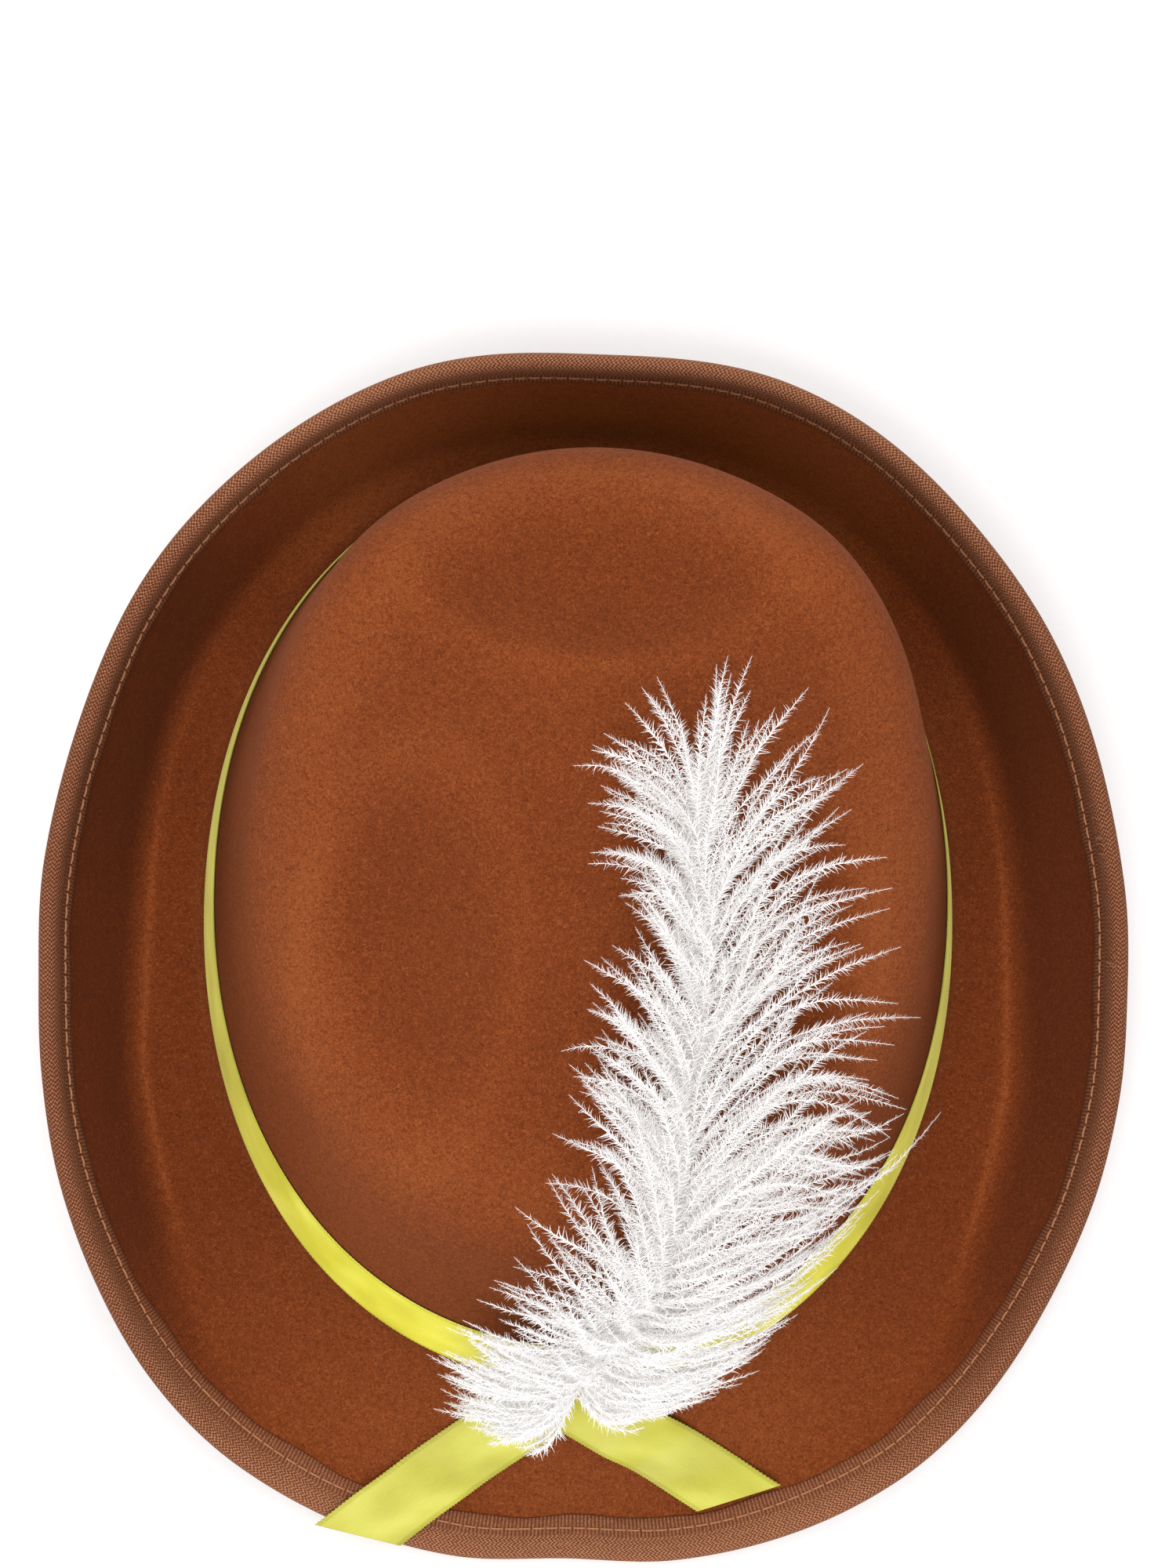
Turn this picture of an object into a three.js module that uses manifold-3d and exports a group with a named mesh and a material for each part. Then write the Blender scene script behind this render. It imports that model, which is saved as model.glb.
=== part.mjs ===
// A tyrolean hat: moulded felt body, bound brim, ribbon band with two tails, and a plume.
// Millimetres. The front is towards -Y, the wearer's left towards +X, and the hat rests on z = 0.
import * as THREE from 'three';
import { mergeVertices } from 'three/addons/utils/BufferGeometryUtils.js';
import Module from 'manifold-3d';

const wasm = await Module();
wasm.setup();

// Felt, and the oval where the crown meets the brim
const feltThickness = 2;
const headWidth = 171;
const headLength = 216;
const headSquareness = 2.1;

// Crown
const crownHeight = 130;
const crownTopWidth = 145;
const crownTopLength = 164;
const crownTopForward = 10.5;
const crownTopAside = -1.5;
const crownTopSquareness = 2.05;
const shoulderRound = 14;
const topDentDepth = 11;
const sideDentDepth = 5;

// Brim: greatest reach from the crown, drop of its fold in front, rise of its turned-up part behind
const brimReach = 46;
const brimDip = 20;
const brimRise = 40;
const footRound = 5;
const foldRound = 7;
const restFlattening = 0.6;

// Trim
const seatGap = 0.3;
const bindingWidth = 8;
const bindingThickness = 1;
const ribbonWidth = 16;
const ribbonThickness = 1;
const bandRise = 3;
const tailGap = 0.5;

// Plume
const plumeReach = 52;
const plumeLift = 4;
const plumeFluff = 8;
const quillRadius = 1.6;
const lockWidth = 10;
const lockThickness = 2.4;

// Fineness of the solids
const aroundSteps = 48;
const lockCount = 12;

// Crown top from the front shoulder (-1) to the back one (1): shares of the crown's height
const crownSections = [
  { along: -1.0, ridge: 0.515, side: 0.515 },
  { along: -0.8, ridge: 0.59, side: 0.53 },
  { along: -0.55, ridge: 0.665, side: 0.555 },
  { along: -0.07, ridge: 0.815, side: 0.635 },
  { along: 0.29, ridge: 0.93, side: 0.785 },
  { along: 0.55, ridge: 0.985, side: 0.925 },
  { along: 0.75, ridge: 0.995, side: 0.97 },
  { along: 1.0, ridge: 0.925, side: 0.925 },
];

// Dents: middle and half size as shares of half the crown top's width and length
const dents = [
  { aside: -0.03, along: 0.66, width: 0.52, length: 0.25, depth: topDentDepth, softness: 1.2 },
  { aside: -0.53, along: -0.29, width: 0.3, length: 0.47, depth: sideDentDepth, softness: 2 },
  { aside: 0.53, along: -0.29, width: 0.3, length: 0.47, depth: sideDentDepth, softness: 2 },
];

// Brim from the front (turn 0) to the back (turn 1): reach of fold and edge as shares of the reach,
// the fold's drop as a share of the dip, and the turned-up part's height as a share of the rise
const brimSections = [
  { turn: 0.0, foldOut: 0.58, foldDown: 0.97, edgeOut: 0.765, flapUp: -0.08 },
  { turn: 0.055, foldOut: 0.6, foldDown: 0.93, edgeOut: 0.828, flapUp: -0.07 },
  { turn: 0.167, foldOut: 0.68, foldDown: 0.75, edgeOut: 0.944, flapUp: 0.04 },
  { turn: 0.222, foldOut: 0.656, foldDown: 0.55, edgeOut: 0.955, flapUp: 0.15 },
  { turn: 0.278, foldOut: 0.545, foldDown: 0.35, edgeOut: 0.922, flapUp: 0.4 },
  { turn: 0.328, foldOut: 0.483, foldDown: 0.225, edgeOut: 0.88, flapUp: 0.625 },
  { turn: 0.378, foldOut: 0.443, foldDown: 0.15, edgeOut: 0.812, flapUp: 0.775 },
  { turn: 0.433, foldOut: 0.38, foldDown: 0.1, edgeOut: 0.74, flapUp: 0.85 },
  { turn: 0.5, foldOut: 0.337, foldDown: 0.075, edgeOut: 0.702, flapUp: 0.9 },
  { turn: 0.656, foldOut: 0.315, foldDown: 0.06, edgeOut: 0.57, flapUp: 0.955 },
  { turn: 0.767, foldOut: 0.26, foldDown: 0.05, edgeOut: 0.443, flapUp: 0.988 },
  { turn: 0.883, foldOut: 0.19, foldDown: 0.05, edgeOut: 0.318, flapUp: 1.01 },
  { turn: 1.0, foldOut: 0.137, foldDown: 0.05, edgeOut: 0.221, flapUp: 1.025 },
];

// Ribbon tails on the front brim, laid flat: aside as a share of half the head's width,
// out from the crown's foot as a share of the brim's reach
const tails = [
  {
    name: 'ribbon_tail_left', sign: -1, lift: 0,
    start: { aside: 0.02, out: 0 }, end: { aside: -0.568, out: 1.24 }, slant: 0.4,
  },
  {
    name: 'ribbon_tail_right', sign: 1, lift: 1,
    start: { aside: -0.03, out: 0.05 }, end: { aside: 0.47, out: 0.88 }, slant: 0.4,
  },
];

// Quill: aside as a share of half the crown top's width, and climb counted from the front shoulder
// as a share of the crown top's length, or down the wall as a share of the crown's height
const quillRoute = [
  { aside: 0.02, climb: -0.505 },
  { aside: 0.05, climb: -0.366 },
  { aside: 0.12, climb: -0.214 },
  { aside: 0.21, climb: -0.038 },
  { aside: 0.27, climb: 0.1 },
  { aside: 0.28, climb: 0.2 },
  { aside: 0.28, climb: 0.31 },
  { aside: 0.27, climb: 0.43 },
  { aside: 0.25, climb: 0.54 },
];

// Length of the plume's locks on its two sides along the quill, as shares of their reach,
// and their slant from the quill's direction in degrees
const plumeSections = [
  { along: 0.0, left: 0.4, right: 0.36, slant: 105 },
  { along: 0.2, left: 0.56, right: 0.62, slant: 88 },
  { along: 0.45, left: 0.6, right: 0.84, slant: 72 },
  { along: 0.65, left: 0.62, right: 0.84, slant: 60 },
  { along: 0.85, left: 0.6, right: 0.64, slant: 44 },
  { along: 1.0, left: 0.44, right: 0.44, slant: 24 },
];

// Value of a table's column at a place, smooth through its rows and level at both ends
function between(rows, place, column, at) {
  let i = 0;
  while (i < rows.length - 2 && at > rows[i + 1][place]) i += 1;
  const slope = (k) => {
    if (k <= 0 || k >= rows.length - 1) return 0;
    const rise = rows[k + 1][column] - rows[k - 1][column];
    return rise / (rows[k + 1][place] - rows[k - 1][place]);
  };
  const span = rows[i + 1][place] - rows[i][place];
  const t = THREE.MathUtils.clamp((at - rows[i][place]) / span, 0, 1);
  const from = (2 * t ** 3 - 3 * t ** 2 + 1) * rows[i][column] + (t ** 3 - 2 * t ** 2 + t) * span * slope(i);
  const to = (3 * t ** 2 - 2 * t ** 3) * rows[i + 1][column] + (t ** 3 - t ** 2) * span * slope(i + 1);
  return from + to;
}

// Radius of the head's oval at an angle, 0 in front
function headRadius(angle) {
  const across = Math.abs(Math.sin(angle)) / (headWidth / 2);
  const along = Math.abs(Math.cos(angle)) / (headLength / 2);
  return (across ** headSquareness + along ** headSquareness) ** (-1 / headSquareness);
}

// Place on the crown top as shares of its half width and half length from its own middle
function onTop(x, y) {
  return {
    aside: (x - crownTopAside) / (crownTopWidth / 2),
    along: (y + crownTopForward) / (crownTopLength / 2),
  };
}

// Radius of the crown top's outline from the head's middle, found by closing in on it
function topRadius(angle) {
  let radius = Math.min(crownTopWidth, crownTopLength) / 2;
  for (let step = 0; step < 16; step += 1) {
    const { aside, along } = onTop(radius * Math.sin(angle), -radius * Math.cos(angle));
    const reach = Math.abs(aside) ** crownTopSquareness + Math.abs(along) ** crownTopSquareness;
    radius *= reach ** (-0.8 / crownTopSquareness);
  }
  return radius;
}

// Height of the crown top: a ridge that climbs to the back, falling to the sides, with dents
function topHeight(x, y) {
  const { aside, along } = onTop(x, y);
  const place = THREE.MathUtils.clamp(along, -1, 1);
  const ridge = between(crownSections, 'along', 'ridge', place);
  const side = between(crownSections, 'along', 'side', place);
  const breadth = Math.max((1 - Math.abs(place) ** crownTopSquareness) ** (1 / crownTopSquareness), 0.12);
  const off = Math.min(Math.abs(aside) / breadth, 1);
  let height = crownHeight * (ridge + (side - ridge) * off ** 1.8);
  for (const dent of dents) {
    const from = ((aside - dent.aside) / dent.width) ** 2 + ((along - dent.along) / dent.length) ** 2;
    if (from < 1) height -= dent.depth * (1 - from) ** dent.softness;
  }
  return height;
}

// Stretches of a meridian: pieces from the crown's middle to the brim's edge
const stretch = { top: 7, shoulder: 5, wall: 3, foot: 4, flat: 2, fold: 4, flap: 1, hem: 2 };

// Points (radius, height) on the upper side of the felt along the meridian at an angle
function meridian(angle) {
  const turn = Math.abs(Math.atan2(Math.sin(angle), Math.cos(angle))) / Math.PI;
  const outline = topRadius(angle);
  const height = (radius) => topHeight(radius * Math.sin(angle), -radius * Math.cos(angle));
  const at = (radius) => new THREE.Vector2(radius, height(radius));
  const corner = at(outline);
  const foot = new THREE.Vector2(headRadius(angle), 0);
  const column = (name) => between(brimSections, 'turn', name, turn);
  const fold = new THREE.Vector2(foot.x + brimReach * column('foldOut'), -brimDip * column('foldDown'));
  const edgeRadius = foot.x + brimReach * column('edgeOut');
  const edge = new THREE.Vector2(edgeRadius, fold.y + brimRise * column('flapUp'));
  const toward = (a, b, length, share) => {
    const whole = a.distanceTo(b);
    return a.clone().lerp(b, Math.min(length, share * whole) / whole);
  };
  const inner = at(outline - shoulderRound);
  const wallTop = toward(corner, foot, shoulderRound, 0.4);
  const wallFoot = toward(foot, corner, footRound, 0.4);
  const flatStart = toward(foot, fold, footRound, 0.4);
  const flatEnd = toward(fold, foot, foldRound, 0.4);
  const hemStart = toward(edge, fold, bindingWidth, 0.9);
  const flapStart = toward(fold, hemStart, foldRound, 0.6);
  const points = [];
  const line = (a, b, pieces) => {
    for (let i = 0; i < pieces; i += 1) points.push(a.clone().lerp(b, i / pieces));
  };
  const bend = (a, middle, b, pieces) => {
    for (let i = 0; i < pieces; i += 1) {
      const first = a.clone().lerp(middle, i / pieces);
      points.push(first.lerp(middle.clone().lerp(b, i / pieces), i / pieces));
    }
  };
  for (let i = 0; i < stretch.top; i += 1) points.push(at((inner.x * i) / stretch.top));
  bend(inner, corner, wallTop, stretch.shoulder);
  line(wallTop, wallFoot, stretch.wall);
  bend(wallFoot, foot, flatStart, stretch.foot);
  line(flatStart, flatEnd, stretch.flat);
  bend(flatEnd, fold, flapStart, stretch.fold);
  line(flapStart, hemStart, stretch.flap);
  line(hemStart, edge, stretch.hem);
  points.push(edge);
  return points;
}

const footStation = stretch.top + stretch.shoulder + stretch.wall + stretch.foot / 2;
const meridians = new Map();

// The meridian with the distance of each of its points from the crown's foot
function measured(angle) {
  if (!meridians.has(angle)) {
    const points = meridian(angle);
    const far = [0];
    for (let i = 1; i < points.length; i += 1) far.push(far[i - 1] + points[i].distanceTo(points[i - 1]));
    meridians.set(angle, { points, far: far.map((d) => d - far[footStation]) });
  }
  return meridians.get(angle);
}

function brimLength(angle) {
  return measured(angle).far.at(-1);
}

// Point on the felt a distance out from the crown's foot, or up the wall where it is negative
function onFelt(angle, out) {
  const { points, far } = measured(angle);
  let i = 0;
  while (i < far.length - 2 && out > far[i + 1]) i += 1;
  const t = (out - far[i]) / (far[i + 1] - far[i]);
  const p = points[i].clone().lerp(points[i + 1], t);
  return new THREE.Vector3(p.x * Math.sin(angle), -p.x * Math.cos(angle), p.y);
}

// Outward side of the felt there
function feltNormal(angle, out) {
  const turn = 0.01;
  const step = 0.6;
  const along = onFelt(angle, out + step).sub(onFelt(angle, out - step));
  const around = onFelt(angle + turn, out).sub(onFelt(angle - turn, out));
  return around.cross(along).multiplyScalar(-1).normalize();
}

function aboveFelt(angle, out, height) {
  return onFelt(angle, out).addScaledVector(feltNormal(angle, out), height);
}

// Closed surface from rings of points: each ring joins the next, the last joins the first
function ringBody(rings) {
  const count = rings[0].length;
  const positions = rings.flat().flatMap((p) => p.toArray());
  const index = [];
  for (let i = 0; i < rings.length; i += 1) {
    const next = (i + 1) % rings.length;
    for (let j = 0; j < count; j += 1) {
      const right = (j + 1) % count;
      const [a, b, c, d] = [i * count + j, i * count + right, next * count + j, next * count + right];
      index.push(a, b, c, b, d, c);
    }
  }
  return indexed(positions, index);
}

// Closed surface from sections along a path, with its two ends filled
function sweptBody(sections) {
  const count = sections[0].length;
  const positions = sections.flat().flatMap((p) => p.toArray());
  const index = [];
  for (let i = 0; i < sections.length - 1; i += 1) {
    for (let j = 0; j < count; j += 1) {
      const right = (j + 1) % count;
      const [a, b, c, d] = [i * count + j, i * count + right, (i + 1) * count + j, (i + 1) * count + right];
      index.push(a, b, d, a, d, c);
    }
  }
  const last = (sections.length - 1) * count;
  for (let j = 1; j < count - 1; j += 1) {
    index.push(0, j + 1, j);
    index.push(last, last + j, last + j + 1);
  }
  return indexed(positions, index);
}

function indexed(positions, index) {
  const geometry = new THREE.BufferGeometry();
  geometry.setAttribute('position', new THREE.Float32BufferAttribute(positions, 3));
  geometry.setIndex(index);
  return geometry;
}

// Felt: the upper side and, a wall's thickness under it, the lower side, joined at the edge
function feltBody() {
  const grid = [];
  for (let i = 0; i < aroundSteps; i += 1) {
    const angle = (2 * Math.PI * i) / aroundSteps;
    const place = (p) => new THREE.Vector3(p.x * Math.sin(angle), -p.x * Math.cos(angle), p.y);
    grid.push(measured(angle).points.map(place));
  }
  const stations = grid[0].length;
  const under = grid.map((points, i) => {
    const angle = (2 * Math.PI * i) / aroundSteps;
    const { far } = measured(angle);
    const wall = (p, j) => p.clone().addScaledVector(feltNormal(angle, far[j]), -feltThickness);
    return points.map((p, j) => (j === 0 ? p.clone().setZ(p.z - feltThickness) : wall(p, j)));
  });
  const positions = [...grid[0][0].toArray(), ...under[0][0].toArray()];
  const row = 2 * (stations - 1);
  for (let i = 0; i < aroundSteps; i += 1) {
    for (const p of grid[i].slice(1)) positions.push(...p.toArray());
    for (const p of under[i].slice(1).reverse()) positions.push(...p.toArray());
  }
  const index = [];
  for (let i = 0; i < aroundSteps; i += 1) {
    const here = 2 + i * row;
    const next = 2 + ((i + 1) % aroundSteps) * row;
    index.push(0, here, next);
    index.push(1, next + row - 1, here + row - 1);
    for (let j = 0; j < row - 1; j += 1) {
      index.push(here + j, here + j + 1, next + j + 1);
      index.push(here + j, next + j + 1, next + j);
    }
  }
  return indexed(positions, index);
}

// Binding: tape folded round the edge, its section going round from the upper hem to the lower
function brimBinding() {
  const inside = seatGap;
  const outside = seatGap + bindingThickness;
  const nose = outside + feltThickness / 2;
  const rings = [];
  for (let i = 0; i < aroundSteps; i += 1) {
    const angle = (2 * Math.PI * i) / aroundSteps;
    const edge = brimLength(angle);
    const legs = [bindingWidth, bindingWidth / 2, 0];
    const leg = (back, height) => aboveFelt(angle, edge - back, height);
    const ahead = onFelt(angle, edge).sub(onFelt(angle, edge - bindingWidth / 4)).normalize();
    const middle = aboveFelt(angle, edge, -feltThickness / 2);
    const up = feltNormal(angle, edge);
    const round = [-45, 0, 45].map((degrees) => {
      const tilt = THREE.MathUtils.degToRad(degrees);
      return middle.clone().addScaledVector(ahead, nose * Math.cos(tilt))
        .addScaledVector(up, -nose * Math.sin(tilt));
    });
    rings.push([
      ...legs.map((back) => leg(back, outside)),
      ...round,
      ...legs.toReversed().map((back) => leg(back, -feltThickness - outside)),
      ...legs.slice(0, 2).map((back) => leg(back, -feltThickness - inside)),
      leg(0, -feltThickness - inside).addScaledVector(ahead, inside),
      leg(0, inside).addScaledVector(ahead, inside),
      ...legs.slice(0, 2).toReversed().map((back) => leg(back, inside)),
    ]);
  }
  return ringBody(rings);
}

// Band: the ribbon round the foot of the crown
function hatBand() {
  const rings = [];
  for (let i = 0; i < aroundSteps; i += 1) {
    const angle = (2 * Math.PI * i) / aroundSteps;
    const low = -bandRise;
    const heights = [low, low - ribbonWidth / 8, low - ribbonWidth];
    rings.push([
      ...heights.toReversed().map((out) => aboveFelt(angle, out, seatGap + ribbonThickness)),
      ...heights.map((out) => aboveFelt(angle, out, seatGap)),
    ]);
  }
  return ringBody(rings);
}

// Point a height above the felt as a stiff ribbon runs there, bridging the corner at the foot
function aboveBridged(angle, out, height) {
  const [back, here, ahead] = [-footRound, 0, footRound].map((step) => onFelt(angle, out + step));
  const turn = 0.01;
  const around = onFelt(angle + turn, out).sub(onFelt(angle - turn, out));
  const along = ahead.clone().sub(back);
  const bridge = here.lerp(back.add(ahead).multiplyScalar(0.5), 0.5);
  return bridge.addScaledVector(along.cross(around).normalize(), height);
}

// What lies on the felt under a tail: the band up the wall, and the binding at the edge
function underTail(angle, out) {
  const band = 1 - THREE.MathUtils.smoothstep(out, -bandRise, footRound);
  const hem = brimLength(angle) - bindingWidth;
  const binding = THREE.MathUtils.smoothstep(out, hem - ribbonWidth / 4, hem - seatGap);
  return band * (seatGap + ribbonThickness) + binding * (seatGap + bindingThickness);
}

// Tail: a straight flat ribbon when the wall and the brim are laid out flat, its end cut at a slant
function ribbonTail(tail) {
  const lay = (row) => {
    const x = (row.aside * headWidth) / 2;
    const foot = -headLength / 2 * (1 - (Math.abs(x) / (headWidth / 2)) ** 2) ** 0.5;
    return new THREE.Vector2(x, foot - row.out * brimReach);
  };
  const start = lay(tail.start);
  const run = lay(tail.end).sub(start);
  const side = new THREE.Vector2(-run.y, run.x).normalize().multiplyScalar(tail.sign * ribbonWidth / 2);
  const steps = 12;
  const shares = [-1, -0.5, 0, 0.5, 1];
  const put = (along, across, height) => {
    const cut = 1 + (tail.slant * across * ribbonWidth) / run.length();
    const p = start.clone().addScaledVector(run, along * cut).addScaledVector(side, across);
    const angle = Math.atan2(p.x, -p.y);
    const out = p.length() - headRadius(angle);
    const landed = THREE.MathUtils.smoothstep(along, 0.35, 0.6);
    const over = tail.lift * (ribbonThickness + 2 * tailGap) * (1 - landed);
    return aboveBridged(angle, out, tailGap + underTail(angle, out) + over + height);
  };
  const sections = [];
  for (let i = 0; i <= steps; i += 1) {
    const upper = shares.map((across) => put(i / steps, across, ribbonThickness));
    const lower = shares.toReversed().map((across) => put(i / steps, across, 0));
    sections.push([...upper, ...lower]);
  }
  return sweptBody(tail.sign < 0 ? sections : sections.map((section) => section.toReversed()));
}

// Point over the crown: aside from the middle, and climb from the front shoulder in plan,
// or down the wall where it is less than 0
function overCrown(x, climb, lift) {
  const aside = Math.min(Math.abs(x - crownTopAside) / (crownTopWidth / 2), 0.96);
  const front = (1 - aside ** crownTopSquareness) ** (1 / crownTopSquareness);
  const shoulder = -crownTopForward - (crownTopLength / 2) * front;
  if (climb >= 0) {
    const y = shoulder + climb;
    const step = 1;
    const point = new THREE.Vector3(x, y, topHeight(x, y));
    const slope = new THREE.Vector3(
      topHeight(x - step, y) - topHeight(x + step, y),
      topHeight(x, y - step) - topHeight(x, y + step),
      2 * step,
    );
    return point.addScaledVector(slope.normalize(), lift);
  }
  const angle = Math.atan2(x, -shoulder);
  const top = new THREE.Vector3(x, shoulder, topHeight(x, shoulder));
  const foot = new THREE.Vector3(Math.sin(angle), -Math.cos(angle), 0).multiplyScalar(headRadius(angle));
  const wall = foot.clone().sub(top);
  const outward = new THREE.Vector3(Math.sin(angle), -Math.cos(angle), 0);
  outward.addScaledVector(wall.clone().normalize(), -outward.dot(wall.clone().normalize())).normalize();
  return top.addScaledVector(wall.normalize(), -climb).addScaledVector(outward, lift);
}

// Plume: locks fused to a quill
function plume() {
  const route = new THREE.CatmullRomCurve3(quillRoute.map(({ aside, climb }) => (
    new THREE.Vector3(
      (aside * crownTopWidth) / 2 + crownTopAside,
      climb * (climb < 0 ? crownHeight : crownTopLength),
      0,
    )
  )));
  const stack = seatGap + 3 * ribbonThickness + 2 * tailGap;
  const seat = stack + footRound / 4 + seatGap;
  const settle = (t) => THREE.MathUtils.smoothstep(t, 0, 0.2);
  const lift = (t) => quillRadius + THREE.MathUtils.lerp(seat, plumeLift, settle(t));
  const quillSteps = 14;
  const quill = [];
  for (let i = 0; i <= quillSteps; i += 1) {
    const t = i / quillSteps;
    const flat = route.getPointAt(t);
    const heading = route.getTangentAt(t);
    const middle = overCrown(flat.x, flat.y, lift(t));
    const ahead = overCrown(flat.x + heading.x, flat.y + heading.y, lift(t)).sub(middle).normalize();
    const up = overCrown(flat.x, flat.y, lift(t) + 1).sub(middle);
    const side = ahead.clone().cross(up).normalize();
    const radius = quillRadius * (1 - 0.5 * t);
    const ring = [];
    for (let k = 0; k < 6; k += 1) {
      const turn = (Math.PI * k) / 3;
      ring.push(middle.clone().addScaledVector(side, radius * Math.cos(turn))
        .addScaledVector(up, -radius * Math.sin(turn)));
    }
    quill.push(ring);
  }
  const bodies = [solid(sweptBody(quill))];
  for (const sign of [-1, 1]) {
    for (let i = 0; i < lockCount; i += 1) {
      const t = (i + 0.5 + 0.2 * sign) / lockCount;
      const column = (name) => between(plumeSections, 'along', name, t);
      const length = plumeReach * column(sign > 0 ? 'right' : 'left');
      const slant = -sign * THREE.MathUtils.degToRad(column('slant'));
      bodies.push(solid(lock(route.getPointAt(t), route.getTangentAt(t), slant, length, lift(t))));
    }
  }
  return fused(bodies);
}

// Lock: a leaf-shaped strip that starts in the quill, bends towards the plume's tip and rises
function lock(root, heading, slant, length, lift) {
  const stations = [
    { out: 0, width: 0.7, turn: 1 },
    { out: 0.35, width: 1, turn: 0.9 },
    { out: 0.7, width: 0.7, turn: 0.75 },
    { out: 1, width: 0.15, turn: 0.6 },
  ];
  const sections = stations.map((row) => {
    const angle = slant * row.turn;
    const way = new THREE.Vector2(heading.x, heading.y).rotateAround(new THREE.Vector2(), angle);
    const across = new THREE.Vector2(-way.y, way.x).multiplyScalar((row.width * lockWidth) / 2);
    const x = root.x + way.x * row.out * length;
    const climb = root.y + way.y * row.out * length;
    const height = lift + plumeFluff * row.out ** 2;
    const half = (row.width * lockThickness) / 2;
    return [
      overCrown(x + across.x, climb + across.y, height),
      overCrown(x, climb, height + half),
      overCrown(x - across.x, climb - across.y, height),
      overCrown(x, climb, height - half),
    ];
  });
  return sweptBody(sections);
}

function solid(geometry) {
  const body = new wasm.Manifold(new wasm.Mesh({
    numProp: 3,
    vertProperties: new Float32Array(geometry.attributes.position.array),
    triVerts: new Uint32Array(geometry.index.array),
  }));
  return body;
}

function fused(bodies) {
  const mesh = bodies.reduce((whole, body) => whole.add(body)).getMesh();
  return mergeVertices(indexed([...mesh.vertProperties], [...mesh.triVerts]));
}

// The hat tips back until the brim's front edge and the fold behind both touch the surface
function restTilt(geometries) {
  const points = geometries.flatMap((geometry) => {
    const place = geometry.attributes.position;
    return Array.from({ length: place.count }, (_, i) => [place.getY(i), place.getZ(i)]);
  });
  const lowest = (tilt, half) => Math.min(...points.filter(([y]) => y * half > 0)
    .map(([y, z]) => z * Math.cos(tilt) + y * Math.sin(tilt)));
  let [low, high] = [-0.5, 0.5];
  for (let step = 0; step < 30; step += 1) {
    const tilt = (low + high) / 2;
    if (lowest(tilt, -1) > lowest(tilt, 1)) low = tilt;
    else high = tilt;
  }
  return { tilt: low, depth: lowest(low, 1) };
}

// The felt gives where it rests, so nothing reaches below the surface
function settled(geometry, { tilt, depth }) {
  geometry.rotateX(tilt);
  geometry.translate(0, 0, -depth - restFlattening);
  const place = geometry.attributes.position;
  for (let i = 0; i < place.count; i += 1) place.setZ(i, Math.max(place.getZ(i), 0));
  return geometry;
}

const felt = new THREE.MeshStandardMaterial({ color: 0x85401f, roughness: 0.95, metalness: 0 });
const tape = new THREE.MeshStandardMaterial({ color: 0x8a5536, roughness: 0.9, metalness: 0 });
const satin = new THREE.MeshStandardMaterial({ color: 0xdcd24e, roughness: 0.45, metalness: 0 });
const down = new THREE.MeshStandardMaterial({ color: 0xd8d2c8, roughness: 0.8, metalness: 0 });

const pieces = [
  { name: 'felt_body', geometry: feltBody(), material: felt },
  { name: 'brim_binding', geometry: brimBinding(), material: tape },
  { name: 'hat_band', geometry: hatBand(), material: satin },
  ...tails.map((tail) => ({ name: tail.name, geometry: ribbonTail(tail), material: satin })),
  { name: 'feather', geometry: plume(), material: down },
];

const hat = new THREE.Group();
const rest = restTilt(pieces.slice(0, 2).map((piece) => piece.geometry));
for (const { name, geometry, material } of pieces) {
  const mesh = new THREE.Mesh(settled(geometry, rest), material);
  mesh.name = name;
  hat.add(mesh);
}

// The origin is the middle of the hat's outline on the surface
const middle = new THREE.Box3().setFromObject(hat).getCenter(new THREE.Vector3());
hat.position.set(-middle.x, -middle.y, 0);

export default hat;
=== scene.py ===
# %% [markdown]
# # A tyrolean hat in felt, tape, satin and plume
#
# The hat is a moulded felt body with a taped brim, a satin band whose ends cross in front, and an
# ostrich plume. The plain solids of the model give each piece its place and size. Here each piece is
# made again with the surface that the real one has.

import math

import bpy
import numpy as np
from mathutils import Matrix, Vector


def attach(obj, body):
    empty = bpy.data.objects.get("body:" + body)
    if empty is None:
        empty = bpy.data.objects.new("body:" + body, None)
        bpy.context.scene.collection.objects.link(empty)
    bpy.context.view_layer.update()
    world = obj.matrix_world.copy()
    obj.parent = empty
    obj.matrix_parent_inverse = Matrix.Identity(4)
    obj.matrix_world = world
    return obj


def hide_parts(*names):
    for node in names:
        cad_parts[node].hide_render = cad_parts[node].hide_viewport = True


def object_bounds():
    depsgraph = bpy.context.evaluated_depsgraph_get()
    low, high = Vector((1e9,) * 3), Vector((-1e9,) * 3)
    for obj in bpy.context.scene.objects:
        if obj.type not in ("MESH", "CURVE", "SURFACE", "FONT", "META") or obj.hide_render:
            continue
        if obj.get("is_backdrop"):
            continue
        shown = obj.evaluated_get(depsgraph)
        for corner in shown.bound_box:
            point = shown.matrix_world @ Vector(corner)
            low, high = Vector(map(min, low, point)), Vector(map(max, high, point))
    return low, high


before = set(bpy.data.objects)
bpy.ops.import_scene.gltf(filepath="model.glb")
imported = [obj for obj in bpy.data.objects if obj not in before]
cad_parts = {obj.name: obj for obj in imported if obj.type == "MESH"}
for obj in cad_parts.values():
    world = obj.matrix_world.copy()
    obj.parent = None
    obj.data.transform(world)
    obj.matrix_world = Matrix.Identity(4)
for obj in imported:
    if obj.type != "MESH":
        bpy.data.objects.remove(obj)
CAD_BOX = [list(corner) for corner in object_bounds()]
print("solids from", CAD_BOX[0], "to", CAD_BOX[1])

# %% [markdown]
# ## Sizes
#
# Lengths are in millimetres, as a hatter would write them, and turned into metres when a mesh is
# made. Tables hold shares of these sizes: a row for each section of the crown or of the brim. The
# last two lines say how many steps each stretch of the felt is made in, from the crown's middle out.

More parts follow.
